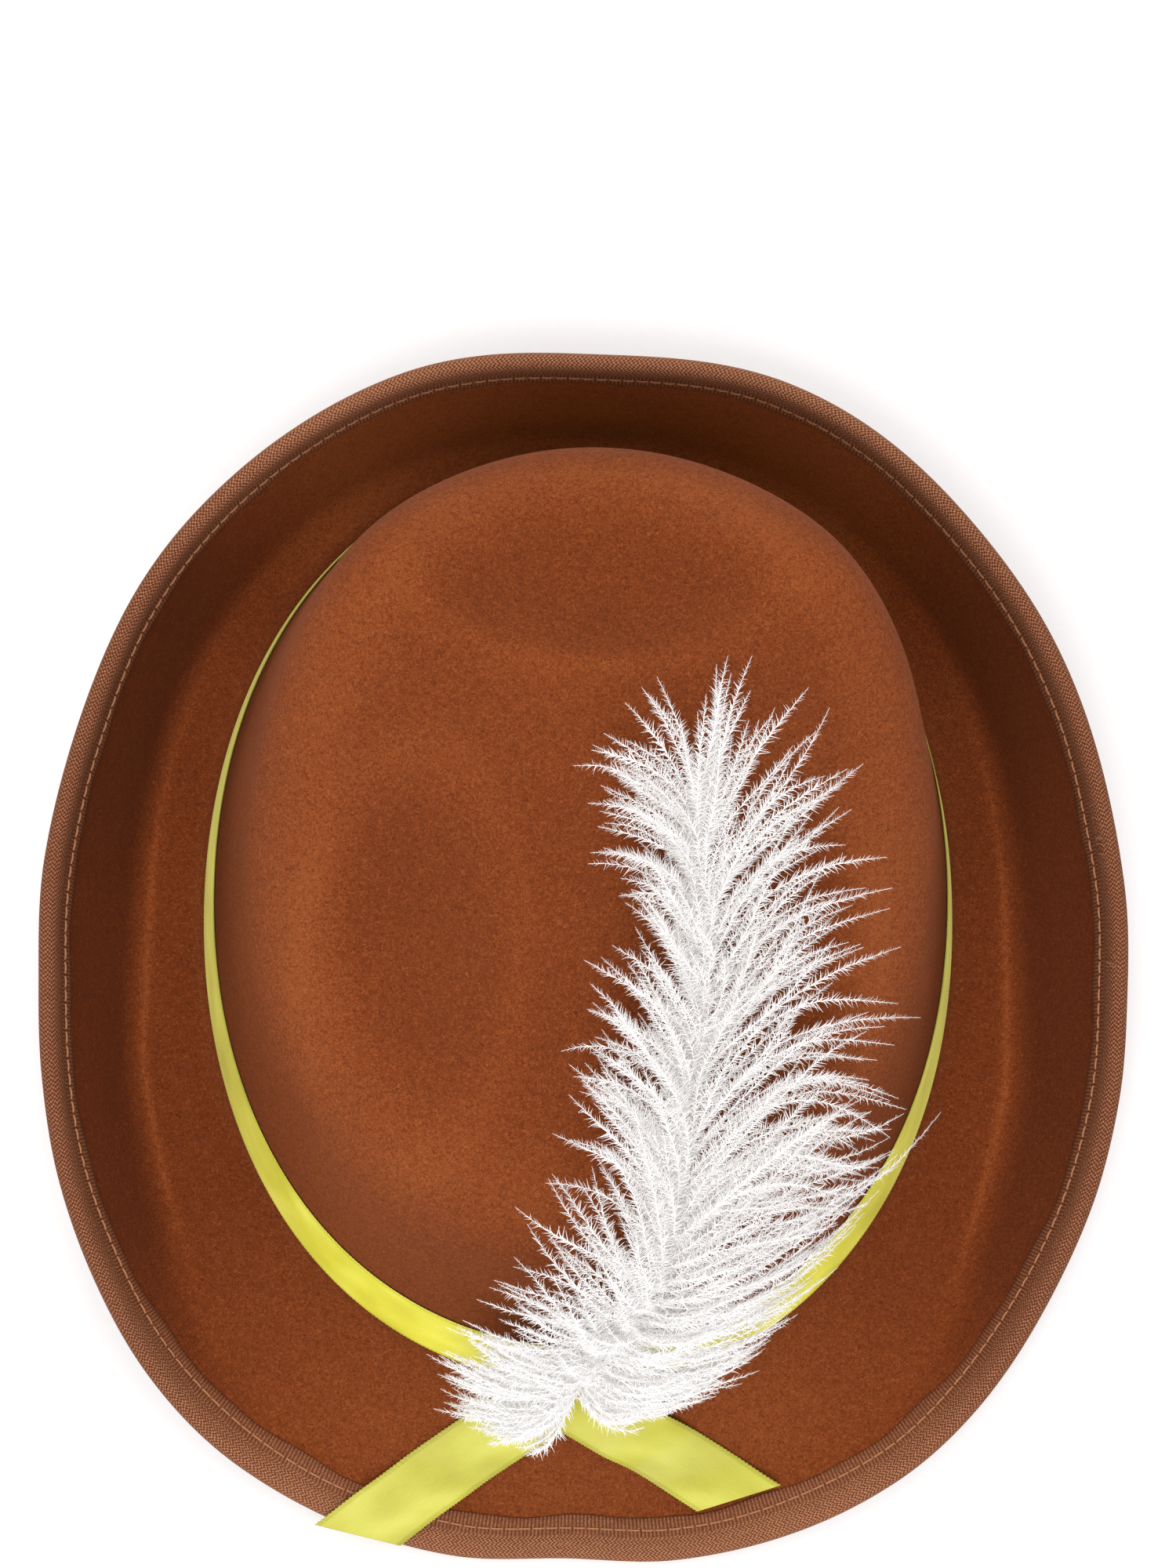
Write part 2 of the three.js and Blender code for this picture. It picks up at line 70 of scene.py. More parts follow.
# %% Named sizes
MM = 0.001
FELT = 2.0
HEAD_WIDTH, HEAD_LENGTH, HEAD_SQUARENESS = 171.0, 216.0, 2.1
CROWN_HEIGHT = 130.0
TOP_WIDTH, TOP_LENGTH, TOP_SQUARENESS = 145.0, 164.0, 2.05
TOP_ASIDE, TOP_FORWARD = -1.5, 10.5
SHOULDER_ROUND, FOOT_ROUND, FOLD_ROUND = 14.0, 5.0, 7.0
BRIM_REACH, BRIM_DIP, BRIM_RISE = 46.0, 20.0, 40.0
HEM_GAP, TAIL_GAP, TRIM_LIFT = 0.3, 0.5, 1.3
BINDING_WIDTH = 8.0
RIBBON_WIDTH, RIBBON = 16.0, 0.35
BAND_RISE, BAND_FLARE = 3.0, 2.2
REST_TILT, REST_SHIFT = math.radians(-5.1967), (0, 11.026, 12.119)
FINE = {"top": 40, "shoulder": 12, "wall": 16, "foot": 8, "flat": 10, "fold": 10, "flap": 10, "hem": 4}
FOOT_STATION = FINE["top"] + FINE["shoulder"] + FINE["wall"] + FINE["foot"] // 2

# %% [markdown]
# ## Tables with smooth values in between
#
# A table knows its columns by name and gives a value at any place, so one row for each section of
# the real shape is enough. Smooth steps join the rows, level at both ends, because the crown and the
# brim have no kinks there.

# %% Table
class Table:
    """Rows of numbers with named columns, the first of them the place of the row."""

    def __init__(self, columns, *rows):
        self.columns = columns.split()
        self.rows = np.array(rows, float)

    def at(self, column, place):
        places = self.rows[:, 0]
        values = self.rows[:, self.columns.index(column)]
        slopes = np.zeros(len(values))
        slopes[1:-1] = (values[2:] - values[:-2]) / (places[2:] - places[:-2])
        place = np.clip(np.asarray(place, float), places[0], places[-1])
        row = np.clip(np.searchsorted(places, place, side="right") - 1, 0, len(places) - 2)
        span = places[row + 1] - places[row]
        t = (place - places[row]) / span
        rising = t * t * (3 - 2 * t)
        start = (t ** 3 - 2 * t ** 2 + t) * span * slopes[row]
        end = (t ** 3 - t ** 2) * span * slopes[row + 1]
        return values[row] * (1 - rising) + values[row + 1] * rising + start + end


CROWN = Table(
    "along ridge side",
    (-1.00, 0.515, 0.515),
    (-0.80, 0.590, 0.530),
    (-0.55, 0.665, 0.555),
    (-0.07, 0.815, 0.635),
    (0.29, 0.930, 0.785),
    (0.55, 0.985, 0.925),
    (0.75, 0.995, 0.970),
    (1.00, 0.925, 0.925),
)
BRIM = Table(
    "turn fold_out fold_down edge_out flap_up",
    (0.000, 0.580, 0.970, 0.765, -0.08),
    (0.055, 0.600, 0.930, 0.828, -0.07),
    (0.167, 0.680, 0.750, 0.944, 0.04),
    (0.222, 0.656, 0.550, 0.955, 0.15),
    (0.278, 0.545, 0.350, 0.922, 0.40),
    (0.328, 0.483, 0.225, 0.880, 0.625),
    (0.378, 0.443, 0.150, 0.812, 0.775),
    (0.433, 0.380, 0.100, 0.740, 0.85),
    (0.500, 0.337, 0.075, 0.702, 0.90),
    (0.656, 0.315, 0.060, 0.570, 0.955),
    (0.767, 0.260, 0.050, 0.443, 0.988),
    (0.883, 0.190, 0.050, 0.318, 1.01),
    (1.000, 0.137, 0.050, 0.221, 1.025),
)
DENTS = (
    {"aside": -0.03, "along": 0.66, "width": 0.52, "length": 0.25, "depth": 11.0, "softness": 1.2},
    {"aside": -0.53, "along": -0.29, "width": 0.30, "length": 0.47, "depth": 5.0, "softness": 2.0},
    {"aside": 0.53, "along": -0.29, "width": 0.30, "length": 0.47, "depth": 5.0, "softness": 2.0},
)

# %% [markdown]
# ## The felt's surface as a function
#
# A hat block is turned about the head's middle, so the surface is a meridian for each angle: over
# the crown top, round the shoulder, down the wall, round the foot, out along the brim, over its fold
# and up its turned-up part. Every other piece is laid on this surface, which keeps them in place.

# %% Crown and brim
def oval(angle, width, length, power):
    across = np.abs(np.sin(angle)) / (width / 2)
    along = np.abs(np.cos(angle)) / (length / 2)
    return (across ** power + along ** power) ** (-1 / power)


def head_radius(angle):
    return oval(angle, HEAD_WIDTH, HEAD_LENGTH, HEAD_SQUARENESS)


def on_top(x, y):
    return (x - TOP_ASIDE) / (TOP_WIDTH / 2), (y + TOP_FORWARD) / (TOP_LENGTH / 2)


def top_radius(angle):
    """Radius of the crown top's outline from the head's middle, found by closing in on it."""
    radius = np.full(np.shape(angle), min(TOP_WIDTH, TOP_LENGTH) / 2)
    for _ in range(16):
        aside, along = on_top(radius * np.sin(angle), -radius * np.cos(angle))
        reach = np.abs(aside) ** TOP_SQUARENESS + np.abs(along) ** TOP_SQUARENESS
        radius = radius * reach ** (-0.8 / TOP_SQUARENESS)
    return radius


def dent_reach(dent, aside, along):
    """0 in the middle of a dent and 1 at its rim."""
    return ((aside - dent["aside"]) / dent["width"]) ** 2 + ((along - dent["along"]) / dent["length"]) ** 2


def top_height(x, y):
    """A ridge that climbs to the back and falls to the sides, with three dents."""
    aside, along = on_top(x, y)
    place = np.clip(along, -1, 1)
    breadth = (1 - np.abs(place) ** TOP_SQUARENESS) ** (1 / TOP_SQUARENESS)
    off = np.minimum(np.abs(aside) / np.maximum(breadth, 0.12), 1)
    ridge, side = CROWN.at("ridge", place), CROWN.at("side", place)
    height = CROWN_HEIGHT * (ridge + (side - ridge) * off ** 1.8)
    for dent in DENTS:
        inside = np.clip(1 - dent_reach(dent, aside, along), 0, 1)
        height = height - dent["depth"] * inside ** dent["softness"]
    return height


def turn_of(angle):
    """How far round an angle is, from 0 in front to 1 behind, the same on both sides."""
    return np.abs(np.arctan2(np.sin(angle), np.cos(angle))) / math.pi


def meridian(angle):
    """Radius and height from the crown's middle to the brim's edge: one row for each angle."""
    turn = turn_of(angle)

    def at(radius):
        height = top_height(radius * np.sin(angle), -radius * np.cos(angle))
        return np.stack([radius, height], -1)

    def toward(a, b, length, share):
        whole = np.linalg.norm(b - a, axis=-1, keepdims=True)
        return a + (b - a) * np.minimum(length, share * whole) / whole

    outline = top_radius(angle)
    inner, corner = at(outline - SHOULDER_ROUND), at(outline)
    foot = np.stack([head_radius(angle), 0 * angle], -1)
    fold_radius = foot[:, 0] + BRIM_REACH * BRIM.at("fold_out", turn)
    fold = np.stack([fold_radius, -BRIM_DIP * BRIM.at("fold_down", turn)], -1)
    uneven = 0.35 * np.sin(5 * angle + 1) + 0.25 * np.sin(9 * angle + 2.3)
    edge_radius = foot[:, 0] + BRIM_REACH * BRIM.at("edge_out", turn) + uneven
    edge_height = fold[:, 1] + BRIM_RISE * BRIM.at("flap_up", turn) + 0.6 * uneven
    edge = np.stack([edge_radius, edge_height], -1)
    wall_top = toward(corner, foot, SHOULDER_ROUND, 0.4)
    wall_foot = toward(foot, corner, FOOT_ROUND, 0.4)
    flat_start = toward(foot, fold, FOOT_ROUND, 0.4)
    flat_end = toward(fold, foot, FOLD_ROUND, 0.4)
    hem_start = toward(edge, fold, BINDING_WIDTH, 0.9)
    flap_start = toward(fold, hem_start, FOLD_ROUND, 0.6)
    points = [at(inner[:, 0] * i / FINE["top"]) for i in range(FINE["top"])]

    def line(a, b, count):
        points.extend(a + (b - a) * i / count for i in range(count))

    def bend(a, middle, b, count):
        for i in range(count):
            t = i / count
            points.append(a * (1 - t) ** 2 + middle * 2 * t * (1 - t) + b * t * t)

    bend(inner, corner, wall_top, FINE["shoulder"])
    line(wall_top, wall_foot, FINE["wall"])
    bend(wall_foot, foot, flat_start, FINE["foot"])
    line(flat_start, flat_end, FINE["flat"])
    bend(flat_end, fold, flap_start, FINE["fold"])
    line(flap_start, hem_start, FINE["flap"])
    line(hem_start, edge, FINE["hem"])
    points.append(edge)
    return np.stack(points, 1)


# %% [markdown]
# ## Laying things on the felt
#
# Trim is placed by an angle round the hat and a distance out from the crown's foot, measured along
# the felt. A dense grid of meridians is worked out once and read in between, which is much faster
# than working out each point anew.

# %% The felt's grid
def smooth(t):
    t = np.clip(t, 0, 1)
    return t * t * (3 - 2 * t)


GRID_ANGLES = np.linspace(0, 2 * math.pi, 721)
GRID = meridian(GRID_ANGLES)
GRID_STEPS = np.linalg.norm(np.diff(GRID, axis=1), axis=-1)
GRID_OUT = np.concatenate([np.zeros((len(GRID), 1)), np.cumsum(GRID_STEPS, 1)], 1)
GRID_OUT = GRID_OUT - GRID_OUT[:, FOOT_STATION][:, None]


def grid_place(angle):
    return np.mod(angle, 2 * math.pi) / (2 * math.pi) * (len(GRID_ANGLES) - 1)


def profile_at(angle, out):
    """Radius and height on the felt at angles and distances out, read from the grid."""
    place = grid_place(angle)
    row = np.minimum(place.astype(int), len(GRID_ANGLES) - 2)
    share = (place - row)[:, None]

    def read(rows):
        outs, points = GRID_OUT[rows], GRID[rows]
        index = np.clip((outs < out[:, None]).sum(1) - 1, 0, outs.shape[1] - 2)
        pick = np.arange(len(rows))
        low, high = outs[pick, index], outs[pick, index + 1]
        t = ((out - low) / (high - low))[:, None]
        return points[pick, index] * (1 - t) + points[pick, index + 1] * t

    return read(row) * (1 - share) + read(row + 1) * share


def on_felt(angle, out):
    angle, out = np.broadcast_arrays(np.asarray(angle, float), np.asarray(out, float))
    shape = angle.shape
    flat = profile_at(angle.ravel(), out.ravel())
    turn = angle.ravel()
    points = np.stack([flat[:, 0] * np.sin(turn), -flat[:, 0] * np.cos(turn), flat[:, 1]], -1)
    return points.reshape(shape + (3,))


def unit(vectors):
    return vectors / np.maximum(np.linalg.norm(vectors, axis=-1, keepdims=True), 1e-9)


def distance_along(points):
    """Distance along a line from its first point to each of its points."""
    return np.concatenate([[0], np.cumsum(np.linalg.norm(np.diff(points, axis=0), axis=-1))])


def around_felt(angle, out, step=0.01):
    return on_felt(angle + step, out) - on_felt(angle - step, out)


def felt_normal(angle, out, step=0.6):
    along = on_felt(angle, out + step) - on_felt(angle, out - step)
    return unit(np.cross(along, around_felt(angle, out)))


def above_felt(angle, out, height):
    angle, out, height = np.broadcast_arrays(angle, out, height)
    return on_felt(angle, out) + felt_normal(angle, out) * height[..., None]


def brim_length(angle):
    return np.interp(np.mod(angle, 2 * math.pi), GRID_ANGLES, GRID_OUT[:, -1])


def tilted(points):
    """From the hat's own axes to the tilt at which it rests."""
    x, y, z = points[..., 0], points[..., 1], points[..., 2]
    c, s = math.cos(REST_TILT), math.sin(REST_TILT)
    return np.stack([x, y * c - z * s, y * s + z * c], -1)


def settled(points):
    """On the surface that the hat rests on, in metres, pressed flat where it touches."""
    return np.maximum(tilted(points) + REST_SHIFT, (-np.inf, -np.inf, 0)) * MM


print("brim is", round(float(brim_length(0.0)), 1), "mm deep in front and",
      round(float(brim_length(math.pi)), 1), "mm behind")

# %% [markdown]
# ## From grids of points to pieces
#
# Most pieces here are a grid of points: closed round one way or both, or open with its ends filled.
# One function makes each mesh, with a UV map in millimetres for the patterns that follow a piece,
# and another fills in the faces of a grid.

# %% Mesh helpers
def add_object(name, data):
    made = bpy.data.objects.new(name, data)
    bpy.context.scene.collection.objects.link(made)
    return made


def set_attribute(mesh, name, values):
    """A number or a direction at each point of a mesh."""
    kind, field = ("FLOAT", "value") if values.ndim == 1 else ("FLOAT_VECTOR", "vector")
    data = mesh.attributes.new(name, kind, "POINT").data
    data.foreach_set(field, values.astype(np.float32).ravel())


def piece_from(name, points, faces, uv=None, girth=0.0):
    """A new piece from points in metres and a list of corner index arrays; girth closes its map."""
    mesh = bpy.data.meshes.new(name)
    points = np.asarray(points, np.float32)
    sizes = np.concatenate([np.full(len(block), block.shape[1]) for block in faces])
    corners = np.concatenate([block.ravel() for block in faces])
    mesh.vertices.add(len(points))
    mesh.vertices.foreach_set("co", points.ravel())
    mesh.loops.add(len(corners))
    mesh.loops.foreach_set("vertex_index", corners.astype(np.int32))
    mesh.polygons.add(len(sizes))
    starts = np.concatenate([[0], np.cumsum(sizes)[:-1]]).astype(np.int32)
    mesh.polygons.foreach_set("loop_start", starts)
    mesh.polygons.foreach_set("use_smooth", np.full(len(sizes), True))
    mesh.update(calc_edges=True)
    if uv is not None:
        layer = mesh.uv_layers.new(name="UVMap")
        places = np.asarray(uv, np.float32)[corners]
        first = np.repeat(places[starts, 0], sizes)
        places[:, 0] += girth * np.round((first - places[:, 0]) / max(girth, 1e-6))
        layer.data.foreach_set("uv", places.ravel())
    mesh.validate()
    return add_object(name, mesh)


def quads(rows, columns, wrap_rows, wrap_columns):
    """Corner indices of a grid of points, closed round its rows or columns where asked."""
    i = np.arange(rows if wrap_rows else rows - 1)
    j = np.arange(columns if wrap_columns else columns - 1)
    i, j = [part.ravel() for part in np.meshgrid(i, j, indexing="ij")]
    down, right = (i + 1) % rows, (j + 1) % columns
    return np.stack([i * columns + j, i * columns + right, down * columns + right, down * columns + j], -1)


def tube(name, grid, closed, *mapping):
    """A grid whose rows are rings: the last ring meets the first, or both ends are filled."""
    rows, columns = grid.shape[:2]
    faces = [quads(rows, columns, closed, True)]
    if not closed:
        faces.append(np.arange(columns)[None, ::-1])
        faces.append((rows - 1) * columns + np.arange(columns)[None])
    return piece_from(name, settled(grid).reshape(-1, 3), faces, *mapping)


def finish_piece(piece, material, slot, *nodes):
    """What every piece gets: its stuff, its place in the model, and the solid that it stands for."""
    piece.data.materials.append(material)
    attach(piece, "root")
    if nodes:
        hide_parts(*nodes)
    count = sum(len(face.vertices) - 2 for face in piece.data.polygons)
    print(piece.name, "has", count, "triangles")


# %% [markdown]
# ## Camera
#
# The photograph looks down on the hat from a little in front of it. The camera stands where the
# outline of brim, band and crown fits the photograph best, and its axis points at the hat's place
# under the middle of the picture, so no shift is needed.

# %% Camera
CAMERA_PLACE = np.array([-56.5, -292.0, 1183.0])
CAMERA_TARGET = np.array([0.6, 24.6, 20.0])
CAMERA_TURN = math.radians(1.1)
FRAME_HEIGHT_PX, FOCAL_PX, SENSOR = 2000, 6780, 36.0


def to_scene(point):
    return Vector(tilted(point) + REST_SHIFT) * MM


camera_data = bpy.data.cameras.new("camera")
camera_data.sensor_width = SENSOR
camera_data.lens = FOCAL_PX / FRAME_HEIGHT_PX * SENSOR
camera_data.clip_end = 20
camera = add_object("camera", camera_data)
bpy.context.scene.camera = camera
camera.location = to_scene(CAMERA_PLACE)
look = to_scene(CAMERA_TARGET) - camera.location
up_way = Vector((-math.sin(CAMERA_TURN), math.cos(CAMERA_TURN), 0))
side_way = look.cross(up_way).normalized()
over_way = side_way.cross(look).normalized()
camera.rotation_mode = "QUATERNION"
camera_axes = Matrix((side_way, over_way, -look.normalized())).transposed()
camera.rotation_quaternion = camera_axes.to_quaternion()
print("camera", round(camera_data.lens), "mm,", round(look.length, 3), "m away")

# %% [markdown]
# ## Node graphs as sums
#
# Materials, and later the trees that grow barbs and stitches, are graphs of nodes. A small class lets
# them be written as calls and sums: an output of a node can be added, multiplied and so on.

# %% Graphs
class Socket:
    """An output of a node that can stand in a sum or a product."""

    def __init__(self, graph, link):
        self.graph, self.link = graph, link

    def do(self, operation, *values):
        numbered = dict(enumerate(values))
        return self.graph.node("ShaderNodeMath", {"operation": operation}, numbered)["Value"]

    def __add__(self, other):
        return self.do("ADD", self, other)

    def __sub__(self, other):
        return self.do("SUBTRACT", self, other)

    def __rsub__(self, other):
        return self.do("SUBTRACT", other, self)

    def __mul__(self, other):
        return self.do("MULTIPLY", self, other)

    __radd__, __rmul__ = __add__, __mul__

    def wave(self, length):
        """A sine that comes round once in each length."""
        return self.do("SINE", self * (2 * math.pi / length))

    def size(self):
        return self.do("ABSOLUTE", self)

    def between(self, low, high):
        inputs = {"Value": self, "From Min": low, "From Max": high}
        settings = {"interpolation_type": "SMOOTHSTEP"}
        return self.graph.node("ShaderNodeMapRange", settings, inputs)["Result"]


class Made:
    """A node that was just made: its outputs by name or by number."""

    def __init__(self, graph, node):
        self.graph, self.node = graph, node

    def __getitem__(self, key):
        return Socket(self.graph, self.node.outputs[key])


class Graph:
    """A node tree that is written as calls and sums."""

    def __init__(self, tree):
        self.tree = tree

    def node(self, kind, settings=None, inputs=None):
        node = self.tree.nodes.new(kind)
        for key, value in (settings or {}).items():
            setattr(node, key, value)
        for key, value in (inputs or {}).items():
            socket = node.inputs[key]
            if isinstance(value, Socket):
                self.tree.links.new(value.link, socket)
            else:
                socket.default_value = value
        return Made(self, node)

    def place(self):
        return self.node("ShaderNodeTexCoord")["Object"]

    def along_and_across(self):
        """Place on a strip's own map, in millimetres."""
        return self.split(self.node("ShaderNodeUVMap", {"uv_map": "UVMap"})["UV"])[:2]

    def noise(self, place, scale, detail=2.0, roughness=0.5, distortion=0.0):
        inputs = {"Vector": place, "Scale": scale, "Detail": detail, "Roughness": roughness}
        return self.node("ShaderNodeTexNoise", None, {**inputs, "Distortion": distortion})["Fac"]

    def ramp(self, value, stops):
        """Shades between places from 0 to 1, at a value."""
        made = self.node("ShaderNodeValToRGB", None, {"Fac": value})
        elements = made.node.color_ramp.elements
        while len(elements) < len(stops):
            elements.new(0.5)
        for element, (place, shade) in zip(elements, stops):
            element.position, element.color = place, (*shade, 1)
        return made["Color"]

    def split(self, vector):
        parts = self.node("ShaderNodeSeparateXYZ", None, {"Vector": vector})
        return parts["X"], parts["Y"], parts["Z"]

    def join(self, x, y, z):
        return self.node("ShaderNodeCombineXYZ", None, {"X": x, "Y": y, "Z": z})["Vector"]


# %% [markdown]
# ## Cloth
#
# Every stuff here is one shader with a colour, a bump and some sheen. What varies over it is worked
# out by a function that is handed the graph.

# %% Materials
def cloth(name, build, roughness, sheen=0.0, sheen_tint=(1, 1, 1), sheen_roughness=0.5, **fixed):
    """A material of one Principled shader; build gives its colour and its bump from a graph."""
    material = bpy.data.materials.new(name)
    material.use_nodes = True
    material.node_tree.nodes.clear()
    graph = Graph(material.node_tree)
    base, height, strength, distance = build(graph)
    bumps = {"Height": height, "Strength": strength, "Distance": distance}
    normal = graph.node("ShaderNodeBump", None, bumps)["Normal"]
    inputs = {"Base Color": base, "Normal": normal, "Roughness": roughness, "Sheen Weight": sheen,
              "Sheen Tint": (*sheen_tint, 1), "Sheen Roughness": sheen_roughness}
    shader = graph.node("ShaderNodeBsdfPrincipled", None, {**inputs, **fixed})
    graph.node("ShaderNodeOutputMaterial", None, {"Surface": shader["BSDF"]})
    return material


def grained(scale, dark, pale, strength, distance):
    """Colour and bump of a plain stuff: fine grain between a dark shade and a pale one."""
    def build(graph):
        grain = graph.noise(graph.place(), scale)
        return graph.ramp(grain, [(0, dark), (1, pale)]), grain, strength, distance

    return build


# %% [markdown]
# ## Floor and light
#
# The photograph has a white ground and hardly a shadow, as in a light tent: a plain pale floor, an
# even white light all round, which is the stronger part, and two broad lamps high in front of the
# hat and behind it.

# %% Floor and light
def area_light(name, place, size, watts):
    light = bpy.data.lights.new(name, "AREA")
    light.size, light.energy = size, watts
    lamp = add_object(name, light)
    lamp.location = place
    lamp.rotation_mode = "QUATERNION"
    lamp.rotation_quaternion = (LIT_PLACE - lamp.location).to_track_quat("-Z", "Y")


FLOOR_HALF, LIT_PLACE, EVEN_LIGHT = 3.0, Vector((0, 0, 0.05)), 0.75
corners = [(x * FLOOR_HALF, y * FLOOR_HALF, 0) for x, y in ((-1, -1), (1, -1), (1, 1), (-1, 1))]
floor = piece_from("floor", corners, [np.array([[0, 1, 2, 3]])])
paper = grained(600, (0.92, 0.92, 0.92), (0.95, 0.95, 0.95), 0.05, 0.0002)
floor.data.materials.append(cloth("floor_paper", paper, 0.7))
floor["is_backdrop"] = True
area_light("key", (-0.3, -1.0, 1.8), size=1.1, watts=27)
area_light("back", (0.1, 1.1, 1.7), size=1.2, watts=17)
world = bpy.data.worlds.new("studio")
world.use_nodes = True
background = world.node_tree.nodes["Background"]
background.inputs["Color"].default_value = (1, 1, 1, 1)
background.inputs["Strength"].default_value = EVEN_LIGHT
bpy.context.scene.world = world
bpy.context.scene.view_settings.view_transform = "Standard"
print("even light", EVEN_LIGHT, "and", len(bpy.data.lights), "lamps")

# %% [markdown]
# ## Felt
#
# Wool felt is short fibres matted in all directions. From above it is a brown ground with fine dark
# and light flecks. Noise at several scales gives flecks, fibres, tufts and uneven dye, and a number at
# each point of the mesh holds painted light and shade: painted highlights where the nap catches the
# light, painted shade where the felt lies in shade.

# %% Felt material
def felt_surface(graph):
    place = graph.place()
    flecks = graph.noise(place, 1800, 3, 0.7, 1.4)
    fibres = graph.noise(place, 4200, 2, 0.6, 2.5)
    tufts = graph.noise(place, 480, 3, 0.6)
    dye = graph.noise(place, 26, 2, 0.5)
    streaks = graph.noise(place, 900, 2, 0.6)
    painted_light_and_shade = graph.node("ShaderNodeAttribute", {"attribute_name": "painted_light_and_shade"})["Fac"]
    # Painted light and shade from the mesh's number, broken up by streaks.
    tone = flecks * 0.65 + fibres * 0.2 + tufts * 0.08 + dye * 0.07 + painted_light_and_shade * (0.04 + streaks * 0.12)
    return graph.ramp(tone, FELT_COLOURS), flecks * 0.6 + fibres * 0.4, 0.8, 0.0009


FELT_COLOURS = [(0.36, (0.105, 0.020, 0.0038)), (0.5, (0.212, 0.044, 0.009)), (0.64, (0.37, 0.098, 0.025))]
DULL = {"Specular IOR Level": 0.12}
FELT_CLOTH = cloth("felt", felt_surface, 0.95, 0.05, (0.9, 0.4, 0.16), 0.4, **DULL)

# %% [markdown]
# The body is one closed shell: the upper side, the lower side a felt's thickness under it, and the
# rim that joins them at the brim's edge. The two poles at the crown's middle are single points. On
# the upper side light is painted: highlights on the shoulder, round the dents, along a crease at the
# foot of the turned-up part and on the brim in front and behind, and shade in the dents and at the
# brim's sides.

# %% Felt body
AROUND = 300


def bump_at(value, middle, breadth):
    return np.exp(-((value - middle) / breadth) ** 2)


def dent_light_and_shade_at(points):
    """Painted shade inside a dent, and a painted highlight round its rim."""
    aside, along = on_top(points[..., 0], points[..., 1])
    tone = 0 * aside
    for dent in DENTS:
        away = dent_reach(dent, aside, along)
        # Painted shade inside the dent, painted highlight round its rim.
        tone = tone - 0.2 * np.clip(1 - away, 0, 1) ** 0.7 + 0.22 * bump_at(away, 1.15, 0.35)
    return tone


def painted_light_and_shade_at(angles):
    """Painted light and shade on the felt at each angle and station."""
    stations = np.arange(sum(FINE.values()) + 1)
    fold_start = FOOT_STATION + FINE["foot"] // 2 + FINE["flat"]
    # Painted sheen highlight on the shoulder.
    shoulder = 0.45 * bump_at(stations, FINE["top"] + 2, 5.0)
    # Painted highlight along the crease at the foot of the turned-up part.
    crease_highlight = 0.9 * bump_at(stations, fold_start + 3, 1.0)
    on_brim = smooth((stations - FOOT_STATION) / 4.0)
    # Painted shade on the brim's sides, deeper on the turned-up part.
    dark = 0.35 * on_brim + 0.75 * smooth((stations - fold_start - 4) / 5.0)
    turn = turn_of(angles)[:, None]
    creased = smooth((turn - 0.22) / 0.12) * (1 - smooth((turn - 0.5) / 0.25))
    sides = smooth((turn - 0.16) / 0.14) * (1 - smooth((turn - 0.66) / 0.2))
    # Painted light on the brim in front and, more strongly, behind.
    ends = 0.35 * (1 - smooth((turn - 0.08) / 0.14)) + 0.9 * smooth((turn - 0.7) / 0.15)
    return shoulder + creased * crease_highlight - sides * dark + ends * on_brim


def felt_body():
    angles = np.arange(AROUND) * 2 * math.pi / AROUND
    flat = meridian(angles)[:, 1:]
    sin, cos = np.sin(angles)[:, None], np.cos(angles)[:, None]
    upper = np.stack([flat[..., 0] * sin, -flat[..., 0] * cos, flat[..., 1]], -1)
    along = np.gradient(upper, axis=1)
    around = np.roll(upper, -1, 0) - np.roll(upper, 1, 0)
    lower = upper - unit(np.cross(along, around)) * FELT
    pole = np.array([[0, 0, float(top_height(0.0, 0.0))]])
    grid = np.concatenate([upper, lower[:, ::-1]], 1)
    rows, columns = grid.shape[:2]
    points = np.concatenate([grid.reshape(-1, 3), pole, pole - [[0, 0, FELT]]])
    here = np.arange(rows) * columns
    there = np.roll(here, -1)
    over_pole = np.stack([np.full(rows, grid[..., 0].size), here, there], -1)
    under_pole = np.stack([over_pole[:, 0] + 1, there + columns - 1, here + columns - 1], -1)
    faces = [quads(rows, columns, True, False), over_pole, under_pole]
    piece = piece_from("felt_shell", settled(points), faces)
    # Painted light and shade on the upper side; none on the lower side.
    painted_tone = painted_light_and_shade_at(angles)[:, 1:] + dent_light_and_shade_at(upper)
    set_attribute(piece.data, "painted_light_and_shade", np.concatenate([np.hstack([painted_tone, 0 * painted_tone]).ravel(), [0, 0]]))
    finish_piece(piece, FELT_CLOTH, "felt", "felt_body")


felt_body()

# %% [markdown]
# ## Things that follow a line
#
# Barbs, stitches and loose threads are all thin things on a line. A Geometry Nodes tree turns lines
# into round strands and sets small straight spikes along both sides of them, leaning forward, in the
# plane that the line's "up" attribute gives. The result is kept as a plain mesh.

